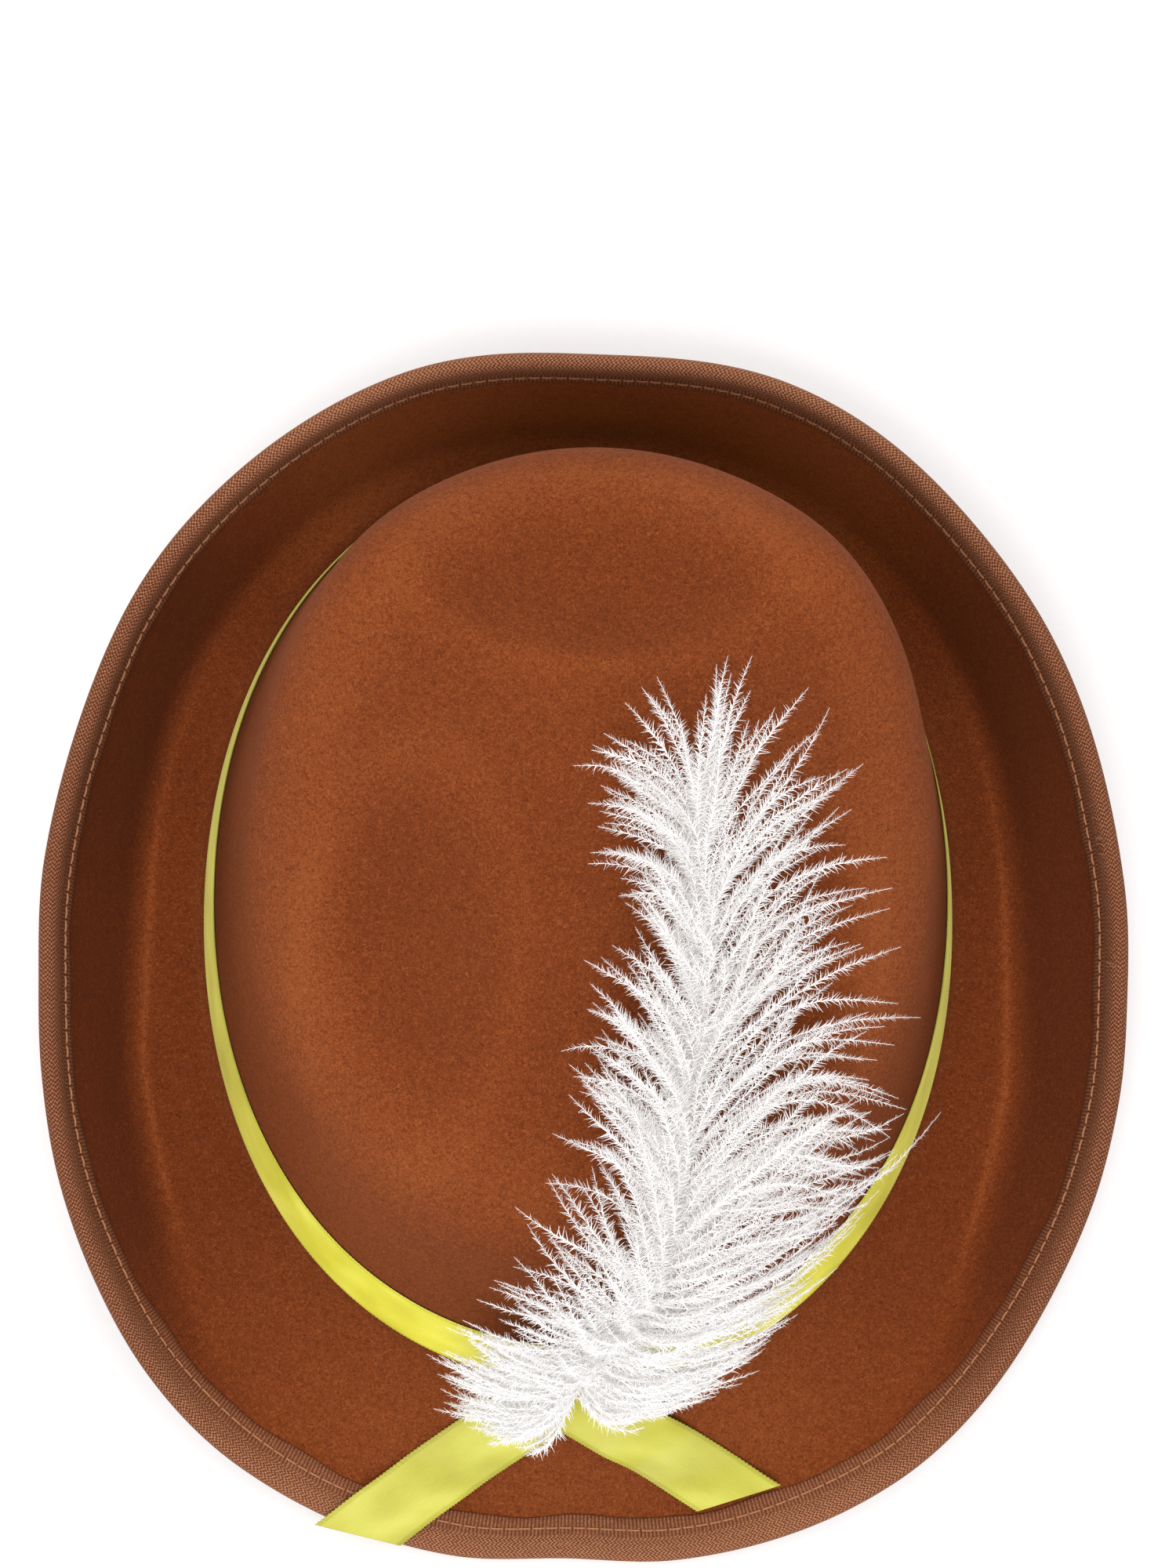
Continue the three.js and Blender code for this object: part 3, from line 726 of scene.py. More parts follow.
# %% Strands tree
class Tree(Graph):
    """A Geometry Nodes tree with named inputs, run on a mesh of lines to give a plain piece."""

    def __init__(self, name, **inputs):
        group = bpy.data.node_groups.new(name, "GeometryNodeTree")
        super().__init__(group)
        self.identifiers = {}
        for key, kind in {"Lines": "Geometry", **inputs}.items():
            made = group.interface.new_socket(name=key, in_out="INPUT", socket_type="NodeSocket" + kind)
            self.identifiers[key] = made.identifier
        group.interface.new_socket(name="Geometry", in_out="OUTPUT", socket_type="NodeSocketGeometry")
        self.group_input = group.nodes.new("NodeGroupInput")

    def given(self, name):
        return Socket(self, self.group_input.outputs[name])

    def attribute(self, name, kind="FLOAT"):
        settings = {"data_type": kind}
        return self.node("GeometryNodeInputNamedAttribute", settings, {"Name": name})["Attribute"]

    def lines(self):
        return self.node("GeometryNodeMeshToCurve", None, {"Mesh": self.given("Lines")})["Curve"]

    def steps_along(self, line, step):
        inputs = {"Curve": line, "Length": step}
        return self.node("GeometryNodeResampleCurve", {"mode": "LENGTH"}, inputs)["Curve"]

    def swept(self, line, sides, thickness):
        """A round strand of so many sides along a line."""
        size = {"Resolution": sides, "Radius": 1.0}
        ring = self.node("GeometryNodeCurvePrimitiveCircle", None, size)["Curve"]
        inputs = {"Curve": line, "Profile Curve": ring, "Scale": thickness, "Fill Caps": True}
        return self.node("GeometryNodeCurveToMesh", None, inputs)["Mesh"]

    def joined(self, *parts):
        node = self.tree.nodes.new("GeometryNodeJoinGeometry")
        for part in parts:
            self.tree.links.new(part.link, node.inputs[0])
        return Made(self, node)["Geometry"]

    def facing(self):
        """Rotation with Z along the line and Y along the line's "up"."""
        ahead = self.node("GeometryNodeInputTangent")["Tangent"]
        align = "FunctionNodeAlignRotationToVector"
        along = self.node(align, {"axis": "Z"}, {"Vector": ahead})["Rotation"]
        flat = {"Rotation": along, "Vector": self.attribute("up", "FLOAT_VECTOR")}
        return self.node(align, {"axis": "Y", "pivot_axis": "Z"}, flat)["Rotation"]

    def finished(self, geometry):
        whole = self.node("GeometryNodeRealizeInstances", None, {"Geometry": geometry})["Geometry"]
        self.node("NodeGroupOutput", None, {"Geometry": whole})
        return self

    def grow(self, name, lines, values):
        """Runs the tree on a helper piece and gives its result as a new plain piece."""
        modifier = lines.modifiers.new("grow", "NODES")
        modifier.node_group = self.tree
        for key, value in values.items():
            modifier[self.identifiers[key]] = value
        graph = bpy.context.evaluated_depsgraph_get()
        mesh = bpy.data.meshes.new_from_object(lines.evaluated_get(graph))
        lines.modifiers.remove(modifier)
        bpy.data.objects.remove(lines)
        mesh.name = name
        mesh.materials.clear()
        return add_object(name, mesh)


def strands_tree():
    """Round strands with straight spikes on both sides."""
    numbers = {"Spacing": "Float", "Spike Thickness": "Float", "Disorder": "Float", "Seed": "Int"}
    tree = Tree("strands_with_spikes", **numbers)
    curve = tree.lines()
    strand = tree.swept(curve, 4, tree.attribute("thick"))

    lean = {"Start": (0, 0, 0), "End": (0.72, 0, 0.9)}
    spike_line = tree.node("GeometryNodeCurvePrimitiveLine", None, lean)["Curve"]
    taper = 1 - tree.node("GeometryNodeSplineParameter")["Factor"] * 0.8
    spike = tree.swept(spike_line, 3, taper * tree.given("Spike Thickness"))
    other_way = {"Geometry": spike, "Rotation": (0, 0, math.pi)}
    pair = tree.joined(spike, tree.node("GeometryNodeTransform", None, other_way)["Geometry"])

    spread = tree.given("Disorder")
    low, high = [tree.join(*[spread * way] * 3) for way in (-1.0, 1.0)]
    limits = {"data_type": "FLOAT_VECTOR"}
    seed = tree.given("Seed")
    angles = tree.node("FunctionNodeRandomValue", limits, {"Min": low, "Max": high, "Seed": seed})["Value"]
    tilt = tree.node("FunctionNodeEulerToRotation", None, {"Euler": angles})["Rotation"]
    both = {"Rotation": tree.facing(), "Rotate By": tilt}
    turn = tree.node("FunctionNodeRotateRotation", {"rotation_space": "LOCAL"}, both)["Rotation"]
    size = tree.node("FunctionNodeRandomValue", {"data_type": "FLOAT"}, {2: 0.7, 3: 1.25, "Seed": seed})[1]
    placed = {"Points": tree.steps_along(curve, tree.given("Spacing")), "Instance": pair,
              "Rotation": turn, "Scale": size * tree.attribute("spike")}
    spikes = tree.node("GeometryNodeInstanceOnPoints", None, placed)["Instances"]
    return tree.finished(tree.joined(strand, spikes))


STRANDS = strands_tree()


def lines_piece(name, lines, ups, thick, spike, closed=False):
    """A helper mesh of lines; each has points in millimetres and values at its points."""
    counts = [len(line) for line in lines]
    starts = np.concatenate([[0], np.cumsum(counts)[:-1]])
    last = 0 if closed else 1
    edges = [np.stack([np.arange(n - last), np.arange(1, n + 1 - last) % n], -1) + start
             for n, start in zip(counts, starts)]
    mesh = bpy.data.meshes.new(name)
    mesh.vertices.add(sum(counts))
    mesh.vertices.foreach_set("co", settled(np.concatenate(lines)).astype(np.float32).ravel())
    mesh.edges.add(sum(len(block) for block in edges))
    mesh.edges.foreach_set("vertices", np.concatenate(edges).astype(np.int32).ravel())
    set_attribute(mesh, "up", tilted(np.concatenate(ups)))
    set_attribute(mesh, "thick", np.concatenate(thick) * MM)
    set_attribute(mesh, "spike", np.concatenate(spike) * MM)
    mesh.update()
    return add_object(name, mesh)


# %% [markdown]
# ## Binding
#
# A woven tape is folded round the brim's edge and sewn down. Over the cut edge it makes a round
# roll, then a shallow ditch, then a flat hem with the seam in it. The section is a short table of
# distances back from the edge and heights over the felt, the same above and below.

# %% Binding
ROLL = Table(
    "back height",
    (0.0, 1.15),
    (1.2, 1.10),
    (2.4, 0.90),
    (3.4, 0.45),
    (4.2, 0.62),
    (5.2, 0.45),
    (6.2, 0.70),
    (7.2, 0.66),
    (8.0, 0.35),
)
ROLL_NOSE, TAPE_STEPS, TAPE_UNDER = 2.1, 720, 0.12
TAPE_COLOURS = [(0.22, (0.075, 0.021, 0.008)), (0.5, (0.188, 0.062, 0.026)), (0.78, (0.42, 0.19, 0.10))]


def tape_surface(graph):
    around, across = graph.along_and_across()
    turn = 2 * math.pi
    weave = (around * turn + across.wave(1.6) * 1.2).wave(turn)
    on_hem = across.between(3.3, 3.8)
    pattern = on_hem * (around.wave(0.9) * 0.22) + (1 - on_hem) * (weave * across.wave(0.7) * 0.5)
    fuzz = graph.noise(graph.place(), 2400, 3, 0.6)
    aside, _, _ = graph.split(graph.place())
    # Painted shade: the tape is painted darker towards the hat's sides.
    painted_side_shade = aside.size().between(0.05, 0.12)
    tone = pattern * 0.62 + fuzz * 0.6 + 0.25 - on_hem * 0.1 - painted_side_shade * 0.14
    return graph.ramp(tone, TAPE_COLOURS), pattern * 0.5 + fuzz * 0.5, 0.7, 0.0004


TAPE_DULL = {"Specular IOR Level": 0.15}
TAPE_CLOTH = cloth("binding_tape", tape_surface, 0.85, 0.04, (0.9, 0.5, 0.3), **TAPE_DULL)


def binding():
    angles = np.arange(TAPE_STEPS) * 2 * math.pi / TAPE_STEPS
    edge = brim_length(angles)
    backs = np.concatenate([np.linspace(8.0, 3.4, 13), np.linspace(3.0, 0, 8)])
    wander = 1 + 0.035 * np.sin(angles * 23) + 0.03 * np.sin(angles * 41 + 1)

    def run(places, height):
        return [above_felt(angles, edge - back * wander, height(back)) for back in places]

    ahead = unit(on_felt(angles, edge) - on_felt(angles, edge - 1))
    middle, up = above_felt(angles, edge, -FELT / 2), felt_normal(angles, edge)
    section = run(backs, lambda back: float(ROLL.at("height", back)))
    for tilt in np.radians((65, 40, 20, 0, -20, -40, -65)):
        section.append(middle + ahead * ROLL_NOSE * math.cos(tilt) + up * ROLL_NOSE * math.sin(tilt))
    section += run(backs[::-1], lambda back: -FELT - float(ROLL.at("height", back)))
    section += run((8.0, 4.0, 0.0), lambda back: -FELT - TAPE_UNDER)
    section += run((0.0, 4.0, 8.0), lambda back: TAPE_UNDER)
    grid = np.stack(section, 1)
    lengths = np.linalg.norm(np.roll(middle, -1, 0) - middle, axis=-1)
    around = np.concatenate([[0], np.cumsum(lengths)[:-1]])
    nose = [-0.8, -1.5, -2.1, -2.6, -3.1, -3.7, -4.4]
    far = [*backs, *nose, *(backs[::-1]), 8, 4, 0, 0, 4, 8]
    uv = np.stack(np.broadcast_arrays(around[:, None], np.array(far)[None]), -1)
    faces = [quads(*grid.shape[:2], True, True)[:, ::-1]]
    points = settled(grid).reshape(-1, 3)
    piece = piece_from("binding_tape", points, faces, uv.reshape(-1, 2), sum(lengths))
    finish_piece(piece, TAPE_CLOTH, "binding", "brim_binding")


binding()

# %% [markdown]
# The seam runs in the ditch, in a thread of lighter brown: each stitch is a short bent piece of
# thread that dips into the tape at both ends. Where the seam starts, and where the tape's ends meet,
# a few threads have come loose.

# %% Stitches and loose threads
STITCH_STEP, STITCH_LENGTH, THREAD, SEAM_BACK = 3.1, 2.5, 0.22, 5.2
LOOSE_SPOTS = (  # angle in degrees, spread, threads
    (96, 0.018, 12),
    (82, 0.006, 5),
)
LOOSE_POINTS = 9


def stitches_tree():
    """Bent pieces of thread at even steps along a line."""
    tree = Tree("stitches", Step="Float", Length="Float", Thickness="Float")
    half = tree.given("Length") * 0.5
    ends = {"Start": tree.join(0.0, half * -0.12, half * -1), "End": tree.join(0.0, half * -0.12, half)}
    bend = {"Resolution": 6, "Middle": tree.join(0.0, half * 0.22, 0.0), **ends}
    line = tree.node("GeometryNodeCurveQuadraticBezier", None, bend)["Curve"]
    stitch = tree.swept(line, 6, tree.given("Thickness"))
    points = tree.steps_along(tree.lines(), tree.given("Step"))
    placed = {"Points": points, "Instance": stitch, "Rotation": tree.facing()}
    return tree.finished(tree.node("GeometryNodeInstanceOnPoints", None, placed)["Instances"])


thread_surface = grained(2600, (0.27, 0.095, 0.03), (0.46, 0.19, 0.065), 0.3, 0.0001)
THREAD_CLOTH = cloth("thread", thread_surface, 0.7, 0.2)


def seam():
    angles = np.linspace(0, 2 * math.pi, 600, endpoint=False)
    out = brim_length(angles) - SEAM_BACK * (1 + 0.025 * np.sin(angles * 19))
    line, up = above_felt(angles, out, 0.62), felt_normal(angles, out)
    same = [np.zeros(len(line))]
    helper = lines_piece("seam_line", [line], [up], same, same, True)
    values = {"Step": STITCH_STEP * MM, "Length": STITCH_LENGTH * MM, "Thickness": THREAD * MM}
    finish_piece(stitches_tree().grow("seam", helper, values), THREAD_CLOTH, "binding")


def loose_threads():
    """Fine threads that stand out from the tape's edge at two places."""
    rng = np.random.default_rng(3)
    lines, ups = [], []
    way = np.linspace(0, 1, LOOSE_POINTS)
    for middle, spread, count in LOOSE_SPOTS:
        for _ in range(count):
            angle = np.full(LOOSE_POINTS, math.radians(middle) + rng.normal() * spread)
            edge = brim_length(angle)
            out = edge - 1.5 + rng.uniform(1.5, 3.6) * smooth(way * 1.2)
            curl = rng.uniform(-1, 1)
            line = above_felt(angle, np.minimum(out, edge), 1.2 + 0.8 * np.sin(way * 3) * curl)
            ahead = unit(on_felt(angle, edge) - on_felt(angle, edge - 1))
            up = felt_normal(angle, edge)
            line = line + ahead * np.maximum(out - edge, 0)[:, None]
            lines.append(line + np.cross(ahead, up) * (curl * 1.6 * way ** 2)[:, None])
            ups.append(up)
    thick, spike = [[np.full(LOOSE_POINTS, size)] * len(lines) for size in (0.07, 0.25)]
    helper = lines_piece("loose_lines", lines, ups, thick, spike)
    values = {"Spacing": 0.6 * MM, "Spike Thickness": 0.08, "Disorder": 1.0, "Seed": 5}
    finish_piece(STRANDS.grow("loose_threads", helper, values), THREAD_CLOTH, "binding")


seam()
loose_threads()

# %% [markdown]
# ## Satin ribbon
#
# Satin floats its warp threads, so it is smooth and shines along its length. The ribbon's two edges
# are woven picots, tiny teeth a millimetre apart. Band and tails are thin strips with a round edge,
# and the teeth are modelled, because they show against the felt. Broad bands of painted sheen and
# shade lie in the satin's colour. The band stands on edge, where less light falls on it, so its satin
# is painted brighter than the tails'.

# %% Satin material
SATIN_COLOURS = [(0.2, (0.34, 0.305, 0.012)), (0.55, (0.49, 0.465, 0.030)), (0.9, (0.66, 0.64, 0.10))]
PICOT_STEP, PICOT_DEPTH = 0.9, 0.22


def satin(name, painted_brightness):
    def surface(graph):
        along, across = graph.along_and_across()
        streaks = graph.noise(graph.join(along * 0.25, across * 6, 0.0), 1.2, 3, 0.6)
        # Broad bands of painted sheen and shade in the satin's colour.
        painted_sheen_bands = graph.noise(graph.join(along * 0.06, across * 0.1, 0.0), 1.0, 1)
        picks, edge = along.wave(0.32), across.size().between(6.7, 7.2)
        tone = streaks * 0.35 + painted_sheen_bands * 0.9 + picks * 0.03 - 0.05 - edge * 0.22
        height = streaks * 0.35 + picks * 0.25 + edge * along.wave(0.45) * 0.3
        stops = [(place, [part * painted_brightness for part in shade]) for place, shade in SATIN_COLOURS]
        return graph.ramp(tone, stops), height, 0.35, 0.0003

    return cloth(name, surface, 0.36, 0.7, (1, 0.96, 0.3), 0.35, **{"Specular IOR Level": 0.55})


# The band's satin is the tails' satin painted half as bright again, for the light it lacks on edge.
TAIL_SATIN, BAND_SATIN_PAINTED_LIGHTER = satin("satin_tails", 1.0), satin("satin_painted_lighter_on_crown", 1.5)

# %% [markdown]
# The strip's section goes over the top from tooth to tooth and back underneath, and along the
# ribbon the teeth move its edge in and out. Each strip is laid on the felt; flat, it is the ribbon's
# width wide and as long as the way along it.

# %% Ribbon strips
ACROSS = np.array([-1, -0.985, -0.955, -0.9, -0.6, -0.2, 0.2, 0.6, 0.9, 0.955, 0.985, 1])


def strip(name, along, lay, material, node, closed):
    """A ribbon: lay(along, across, height) gives its points, along and across in millimetres."""
    teeth = 0.5 + 0.5 * np.cos(2 * math.pi * along / PICOT_STEP)
    half = RIBBON_WIDTH / 2 + PICOT_DEPTH * (teeth[:, None] - 0.5)
    over = ACROSS[None] * half
    rim = np.clip((1 - np.abs(ACROSS)) / 0.04, 0, 1) ** 0.5
    grid_along = np.broadcast_to(along[:, None], over.shape)
    upper, lower = [lay(grid_along, over, RIBBON * (0.5 + side * rim)[None] * np.ones_like(over))
                    for side in (0.5, -0.5)]
    grid = np.concatenate([upper, lower[:, ::-1]], 1)
    across = np.concatenate([over, over[:, ::-1]], 1)
    uv = np.stack([np.concatenate([grid_along, grid_along], 1), across], -1)
    girth = along[-1] + along[1] if closed else 0.0
    piece = tube(name, grid, closed, uv.reshape(-1, 2), girth)
    finish_piece(piece, material, "ribbon", node)
    flat = (RIBBON_WIDTH * MM, float(along[-1]) * MM)


def band():
    fine = np.linspace(0, 2 * math.pi, 4001)
    reach = distance_along(on_felt(fine, np.full(fine.shape, -BAND_RISE - RIBBON_WIDTH / 2)))
    count = int(round(reach[-1] / PICOT_STEP)) * 4
    along = np.arange(count) * reach[-1] / count
    scale = PICOT_STEP * (count / 4) / reach[-1]

    def lay(way, across, height):
        angle = np.interp(way / scale, reach, fine)
        ease = 0.35 * np.sin(angle * 3 + 0.6) + 0.2 * np.sin(angle * 7)
        out = -BAND_RISE - RIBBON_WIDTH / 2 - across + ease
        off_foot = smooth((RIBBON_WIDTH / 2 - across) / RIBBON_WIDTH)
        flare = BAND_FLARE * off_foot * np.cos(angle / 2) ** 8
        return above_felt(angle, out, 0.15 + flare + height)

    strip("satin_band", along * scale, lay, BAND_SATIN_PAINTED_LIGHTER, "hat_band", True)


band()

# %% [markdown]
# A tail is straight when wall and brim are laid out flat, and keeps straight as it crosses the
# corner at the crown's foot, which it bridges. Its free end is cut at a slant.

# %% Ribbon tails
TAILS = (
    {"name": "satin_tail_left", "node": "ribbon_tail_left", "sign": -1, "lift": 0.0,
     "start": (0.02, 0.0), "end": (-0.568, 1.24), "slant": 0.4},
    {"name": "satin_tail_right", "node": "ribbon_tail_right", "sign": 1, "lift": 1.0,
     "start": (-0.03, 0.05), "end": (0.47, 0.88), "slant": 0.4},
)


def above_bridged(angle, out, height):
    back, here, ahead = [on_felt(angle, out + step) for step in (-FOOT_ROUND, 0, FOOT_ROUND)]
    bridge = here * 0.5 + (back + ahead) * 0.25
    return bridge + unit(np.cross(ahead - back, around_felt(angle, out))) * height[..., None]


def under_tail(angle, out):
    band_share = 1 - smooth((out + BAND_RISE) / (FOOT_ROUND + BAND_RISE))
    hem = brim_length(angle) - BINDING_WIDTH
    start = hem - RIBBON_WIDTH * 0.7
    binding_share = smooth((out - start) / (hem - HEM_GAP - start))
    return (band_share + binding_share) * TRIM_LIFT


def tail(spec):
    def flat(place):
        x = place[0] * HEAD_WIDTH / 2
        foot = -HEAD_LENGTH / 2 * math.sqrt(1 - (x / (HEAD_WIDTH / 2)) ** 2)
        return np.array([x, foot - place[1] * BRIM_REACH])

    start = flat(spec["start"])
    run = flat(spec["end"]) - start
    length = float(np.linalg.norm(run))
    way = run / length
    side = np.array([-way[1], way[0]]) * spec["sign"]

    def lay(along, across, height):
        cut = 1 + spec["slant"] * across * 2 / length
        place = start + (along * cut)[..., None] * way + across[..., None] * side
        angle = np.arctan2(place[..., 0], -place[..., 1])
        out = np.linalg.norm(place, axis=-1) - head_radius(angle)
        over = spec["lift"] * 2.0 * (1 - smooth((along / length - 0.35) / 0.25))
        ease = 0.25 * np.sin(along / 9 + across / 11) + 0.25
        return above_bridged(angle, out, TAIL_GAP + under_tail(angle, out) + over + ease + height)

    count = int(length / PICOT_STEP) * 4
    strip(spec["name"], np.linspace(0, length, count), lay, TAIL_SATIN, spec["node"], False)


for spec in TAILS:
    tail(spec)

# %% [markdown]
# ## Plume
#
# An ostrich plume has soft barbs without hooks, so they hang apart in bundles, and each one carries
# two rows of fine barbules. The barbs leave the quill at a small angle, arch away from it and fall.
# At the base they are short down, which hides where the ribbon crosses. A faint glow stands for the
# light that passes through the down.

# %% Plume material
def down_surface(graph):
    place = graph.place()
    shade, fine = graph.noise(place, 120), graph.noise(place, 3000, 1)
    _, along, _ = graph.split(place)
    # Painted light: the down is painted lighter near the plume's base, where it is densest.
    painted_base_light = 1 - along.between(-0.095, -0.070)
    return graph.ramp(shade * 0.7 + fine * 0.2 + painted_base_light * 0.35, DOWN_COLOURS), fine, 0.1, 0.0001


DOWN_COLOURS = [(0.3, (0.79, 0.765, 0.75)), (0.9, (0.96, 0.95, 0.945))]
LIGHT_THROUGH = {"Emission Color": (1, 0.98, 0.97, 1), "Emission Strength": 0.1}
DOWN = cloth("down", down_surface, 0.8, 0.2, **LIGHT_THROUGH)
QUILL = cloth("quill_horn", grained(700, (0.50, 0.40, 0.27), (0.68, 0.58, 0.44), 0.1, 0.0001), 0.5)

# %% [markdown]
# The quill follows the crown: up the wall at the front, over the shoulder, and along the slope. Its
# route is a table of places aside and up the crown, and everything on the plume is laid over the
# crown from the same route. A second table gives the barbs' length on each side, and the angles at
# which they start and end. A third one lists the rows: a main one for each stretch of each side, a
# shorter and looser one over it near the quill, and a few long barbs that stray.

# %% Over the crown
ROUTE = np.array([
    (0.02, -0.505), (0.05, -0.366), (0.12, -0.214), (0.21, -0.038), (0.27, 0.10),
    (0.28, 0.20), (0.28, 0.31), (0.27, 0.43), (0.25, 0.54),
])
PLUME_REACH, PLUME_FLUFF, PLUME_LIFT, PLUME_SEAT = 56.0, 8.0, 5.6, 7.4
PLUME = Table(
    "along left right left_start left_end right_start right_end",
    (0.00, 0.34, 0.12, 100, 165, 80, 100),
    (0.05, 0.40, 0.32, 80, 140, 60, 96),
    (0.12, 0.50, 0.56, 54, 100, 50, 100),
    (0.24, 0.58, 0.68, 36, 80, 32, 98),
    (0.40, 0.60, 0.82, 26, 70, 22, 96),
    (0.54, 0.58, 0.90, 20, 58, 16, 94),
    (0.66, 0.50, 0.90, 16, 44, 12, 88),
    (0.78, 0.44, 0.88, 12, 38, 8, 70),
    (0.88, 0.50, 0.78, 10, 62, 6, 48),
    (0.95, 0.52, 0.60, 4, 56, 4, 28),
    (1.00, 0.42, 0.44, -4, 16, 4, 14),
)
PLUME_ROWS = (  # piece, side, barbs, from, to, share of length, loose lift, share of turn
    ("down_base", -1, 86, 0.02, 0.14, 1.00, 4.0, 1.00),
    ("down_base", 1, 60, 0.03, 0.11, 1.00, 3.0, 1.00),
    ("down_base", -1, 34, 0.02, 0.09, 0.75, 6.0, 1.25),
    ("barbs_left_low", -1, 78, 0.10, 0.50, 1.00, 2.0, 1.00),
    ("barbs_left_low", -1, 50, 0.08, 0.50, 0.55, 5.0, 0.80),
    ("barbs_left_low", -1, 16, 0.14, 0.50, 1.15, 9.0, 0.60),
    ("barbs_left_high", -1, 84, 0.46, 0.98, 1.00, 2.0, 1.00),
    ("barbs_left_high", -1, 44, 0.46, 0.96, 0.70, 4.0, 0.50),
    ("barbs_left_high", -1, 20, 0.55, 0.98, 1.10, 9.0, 1.35),
    ("barbs_right_low", 1, 87, 0.09, 0.49, 1.00, 2.0, 1.00),
    ("barbs_right_low", 1, 36, 0.06, 0.48, 0.60, 4.0, 0.80),
    ("barbs_right_high", 1, 72, 0.41, 0.96, 1.00, 2.0, 1.00),
    ("barbs_right_high", 1, 30, 0.46, 0.98, 0.70, 4.0, 0.50),
    ("barbs_right_high", 1, 12, 0.40, 0.95, 1.05, 9.0, 0.65),
)


def route_at(share):
    """Place on the quill's route in millimetres of plan, and its direction there."""
    climb = ROUTE[:, 1] * np.where(ROUTE[:, 1] < 0, CROWN_HEIGHT, TOP_LENGTH)
    places = np.stack([ROUTE[:, 0] * TOP_WIDTH / 2 + TOP_ASIDE, climb], -1)
    fine = np.linspace(0, len(places) - 1, 400)
    line = np.stack([Table("row value", *enumerate(column)).at("value", fine) for column in places.T], -1)
    far = distance_along(line)

    def at(more):
        way = np.asarray(share, float) * far[-1] + more
        return np.stack([np.interp(way, far, column) for column in line.T], -1)

    return at(0), unit(at(4) - at(-4))


def shoulder_at(x):
    """Place along the hat of the crown's front shoulder."""
    aside = np.minimum(np.abs(x - TOP_ASIDE) / (TOP_WIDTH / 2), 0.96)
    return -TOP_FORWARD - TOP_LENGTH / 2 * (1 - aside ** TOP_SQUARENESS) ** (1 / TOP_SQUARENESS)


def over_crown(x, climb, lift):
    """Points at a lift over the crown, aside and climbing from the front shoulder, and their up."""
    shoulder = shoulder_at(x)
    y = shoulder + np.maximum(climb, 0)
    slope_x = top_height(x - 1, y) - top_height(x + 1, y)
    slope_y = top_height(x, y - 1) - top_height(x, y + 1)
    top_up = unit(np.stack([slope_x, slope_y, np.full(np.shape(x), 2.0)], -1))
    angle = np.arctan2(x, -shoulder)
    out = np.stack([np.sin(angle), -np.cos(angle), 0 * angle], -1)
    corner = np.stack([x, shoulder, top_height(x, shoulder)], -1)
    wall = unit(out * head_radius(angle)[..., None] - corner)
    wall_up = unit(out - wall * (out * wall).sum(-1, keepdims=True))
    place = np.stack([x, y, top_height(x, y)], -1) + wall * np.maximum(-climb, 0)[..., None]
    share = smooth((climb + 16) / 32)[..., None]
    up = unit(wall_up * (1 - share) + top_up * share)
    return place + up * lift[..., None], up


def plume_lift(share):
    return PLUME_SEAT + (PLUME_LIFT - PLUME_SEAT) * smooth(share / 0.2)


def relaxed(line, rounds=3):
    """A line with its kinks rubbed out, its ends kept."""
    for _ in range(rounds):
        line[1:-1] = line[1:-1] * 0.5 + (line[:-2] + line[2:]) * 0.25
    return line


def off_brim(line, clearance):
    """Keeps a line above the brim and the ribbon that lies on it."""
    angle, radius = np.arctan2(line[:, 0], -line[:, 1]), np.hypot(line[:, 0], line[:, 1])
    for i, row in enumerate(np.round(grid_place(angle)).astype(int)):
        outer = GRID[row, FOOT_STATION:]
        if radius[i] > outer[0, 0]:
            line[i, 2] = max(line[i, 2], np.interp(radius[i], outer[:, 0], outer[:, 1]) + clearance)
    return line


# %% [markdown]
# Each barb is a line from the quill that turns outwards as it goes. Neighbours lean to the same side
# in bundles of four, as they do when down has been handled, and gaps open between bundles. The left
# side is the looser one.

# %% Barbs
BARB_POINTS, BARB_THICKNESS, BARBULE_STEP, BUNDLE = 16, 0.13, 0.46, 4
LEAST_LIFT, BRIM_CLEARANCE = 1.5, 5.5
LOOSE = {"left": 2.4, "right": 0.9}


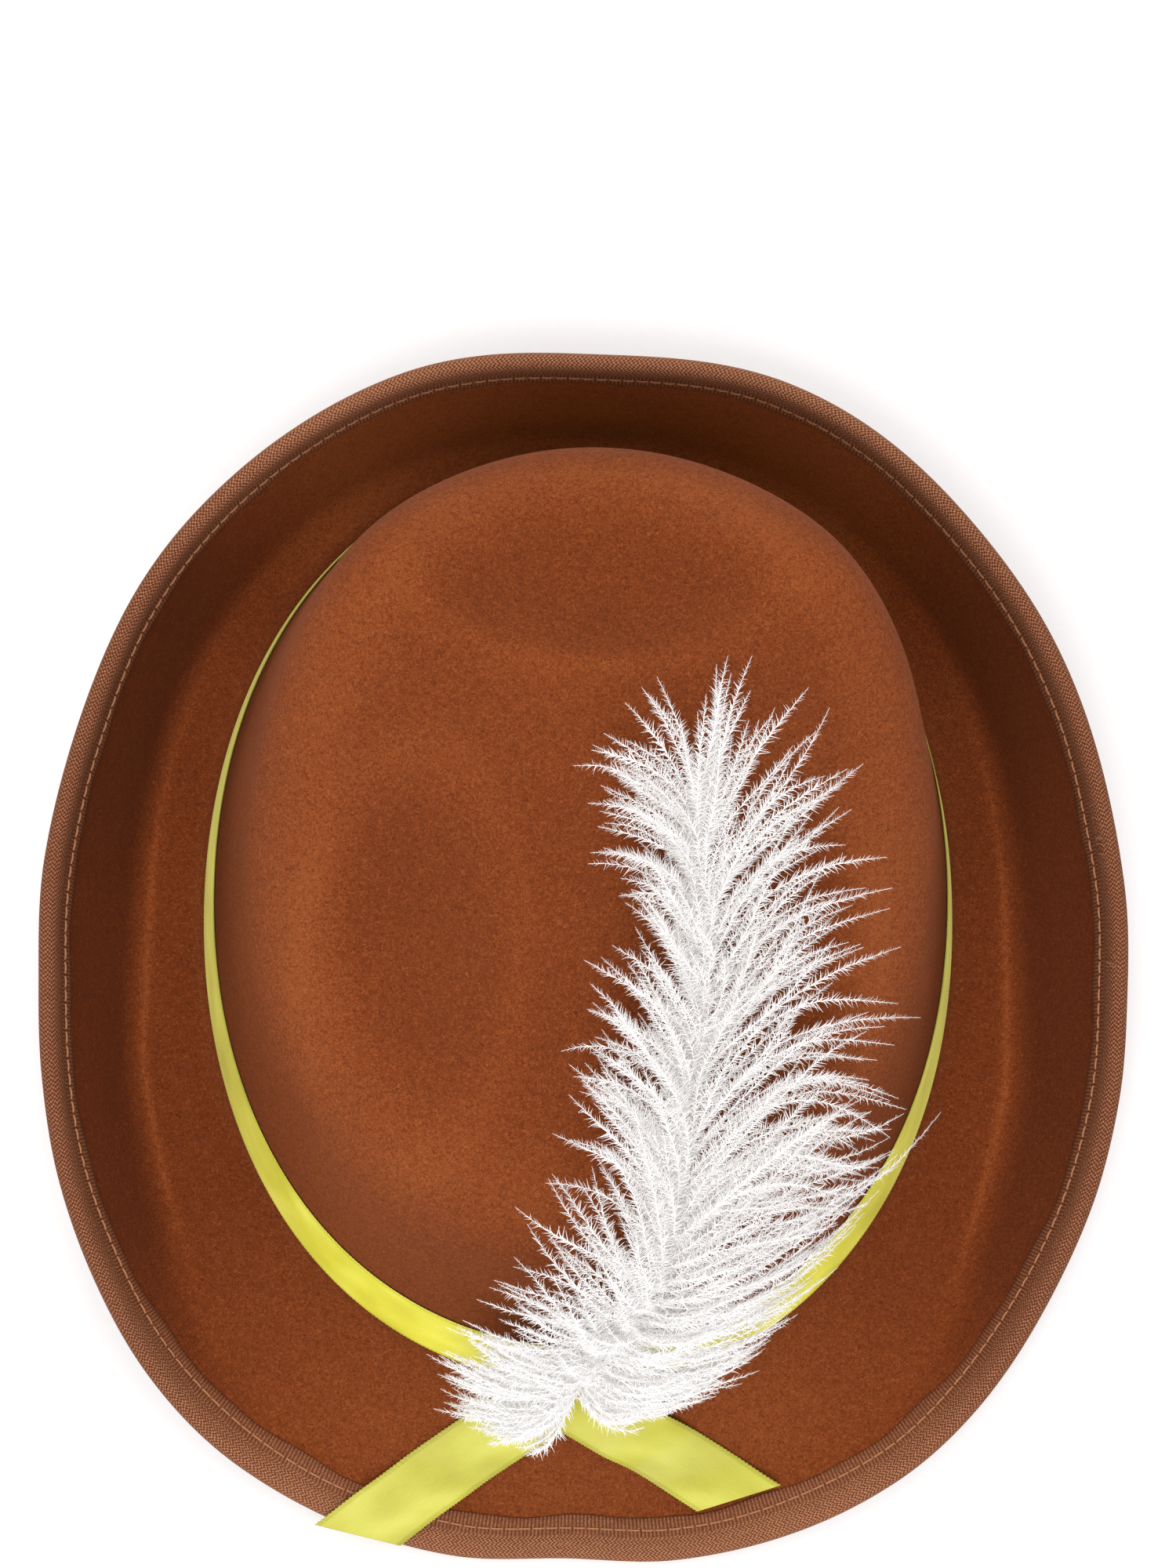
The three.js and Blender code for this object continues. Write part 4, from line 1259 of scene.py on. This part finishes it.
def barb(rng, root_share, sign, length, turns, bundle, lift_more):
    """A line that leaves the quill at the first angle and bends to the second."""
    root, heading = route_at(root_share)
    way = np.arange(BARB_POINTS) / (BARB_POINTS - 1)
    start, end = turns
    turn = -sign * np.radians(start + (end - start) * way ** 0.8 + 9 * bundle * way + 8 * rng.normal())
    turn = turn + np.radians(15) * np.sin(way * rng.uniform(2, 6) + rng.uniform(0, 6)) * way
    step = length / (BARB_POINTS - 1)
    x_way = heading[0] * np.cos(turn) - heading[1] * np.sin(turn)
    y_way = heading[0] * np.sin(turn) + heading[1] * np.cos(turn)
    x = root[0] + np.concatenate([[0], np.cumsum(x_way[:-1] * step)])
    on_top = smooth((root[1] + 12) / 24)
    recede = on_top * (shoulder_at(x) - shoulder_at(root[0]))
    climb = root[1] + np.concatenate([[0], np.cumsum(y_way[:-1] * step)]) - recede
    crest = lift_more + PLUME_FLUFF * (0.55 + 0.3 * rng.random()) * np.sin(way * rng.uniform(1.8, 2.6))
    lift = plume_lift(root_share) + crest * smooth(way / 0.3)
    line, up = over_crown(x, climb, np.maximum(lift, LEAST_LIFT))
    line = off_brim(relaxed(line), BRIM_CLEARANCE)
    fade = np.minimum(1, way / 0.06) * np.clip((1 - way) / 0.28, 0, 1) ** 0.7
    spike = (0.25 + 1.75 * fade) * rng.uniform(0.85, 1.15)
    return relaxed(line, 2), up, BARB_THICKNESS * (1 - 0.72 * way), spike


def barb_row(rng, sign, count, first, last, length_share, lift_more, turn_share):
    made = []
    side = "left" if sign < 0 else "right"
    bundles = LOOSE[side] * rng.normal(size=count)
    for i in range(count):
        share = first + (last - first) * (i + rng.uniform(-0.4, 0.4)) / (count - 1)
        share = min(max(share, 0), 1)
        length = PLUME_REACH * float(PLUME.at(side, share)) * length_share * rng.uniform(0.74, 1.12)
        turns = [float(PLUME.at(side + end, share)) * turn_share for end in ("_start", "_end")]
        made.append(barb(rng, share, sign, length, turns, bundles[i // BUNDLE], lift_more * rng.random()))
    return made


def plume():
    rng = np.random.default_rng(7)
    pieces = {}
    for name, *row in PLUME_ROWS:
        pieces.setdefault(name, []).extend(barb_row(rng, *row))
    values = {"Spacing": BARBULE_STEP * MM, "Spike Thickness": 0.064, "Disorder": 0.65}
    for seed, (name, barbs) in enumerate(pieces.items()):
        helper = lines_piece(name + "_lines", *zip(*barbs))
        finish_piece(STRANDS.grow(name, helper, {**values, "Seed": seed}), DOWN, "plume")


plume()


def quill():
    share = np.linspace(0.04, 0.9, 60)
    places, _ = route_at(share)
    line, up = over_crown(places[:, 0], places[:, 1], plume_lift(share) + 0.6)
    ahead = unit(np.gradient(line, axis=0))
    side = np.cross(ahead, up)
    radius = (0.85 - 0.6 * share)[:, None]
    rounds = np.linspace(0, 2 * math.pi, 10, endpoint=False)
    grid = [line + radius * (side * math.cos(a) + up * math.sin(a) * 0.7) for a in rounds]
    piece = tube("quill", relaxed(np.stack(grid, 1)), False)
    finish_piece(piece, QUILL, "plume", "feather")


quill()

# %% [markdown]
# ## Size
#
# The dressed hat is meant to fill the same box as the plain solids, apart from the down that stands
# proud of it. Both boxes are printed.

# %% Boxes
visual_box = [list(corner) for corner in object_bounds()]
print("visual model from", visual_box[0], "to", visual_box[1])
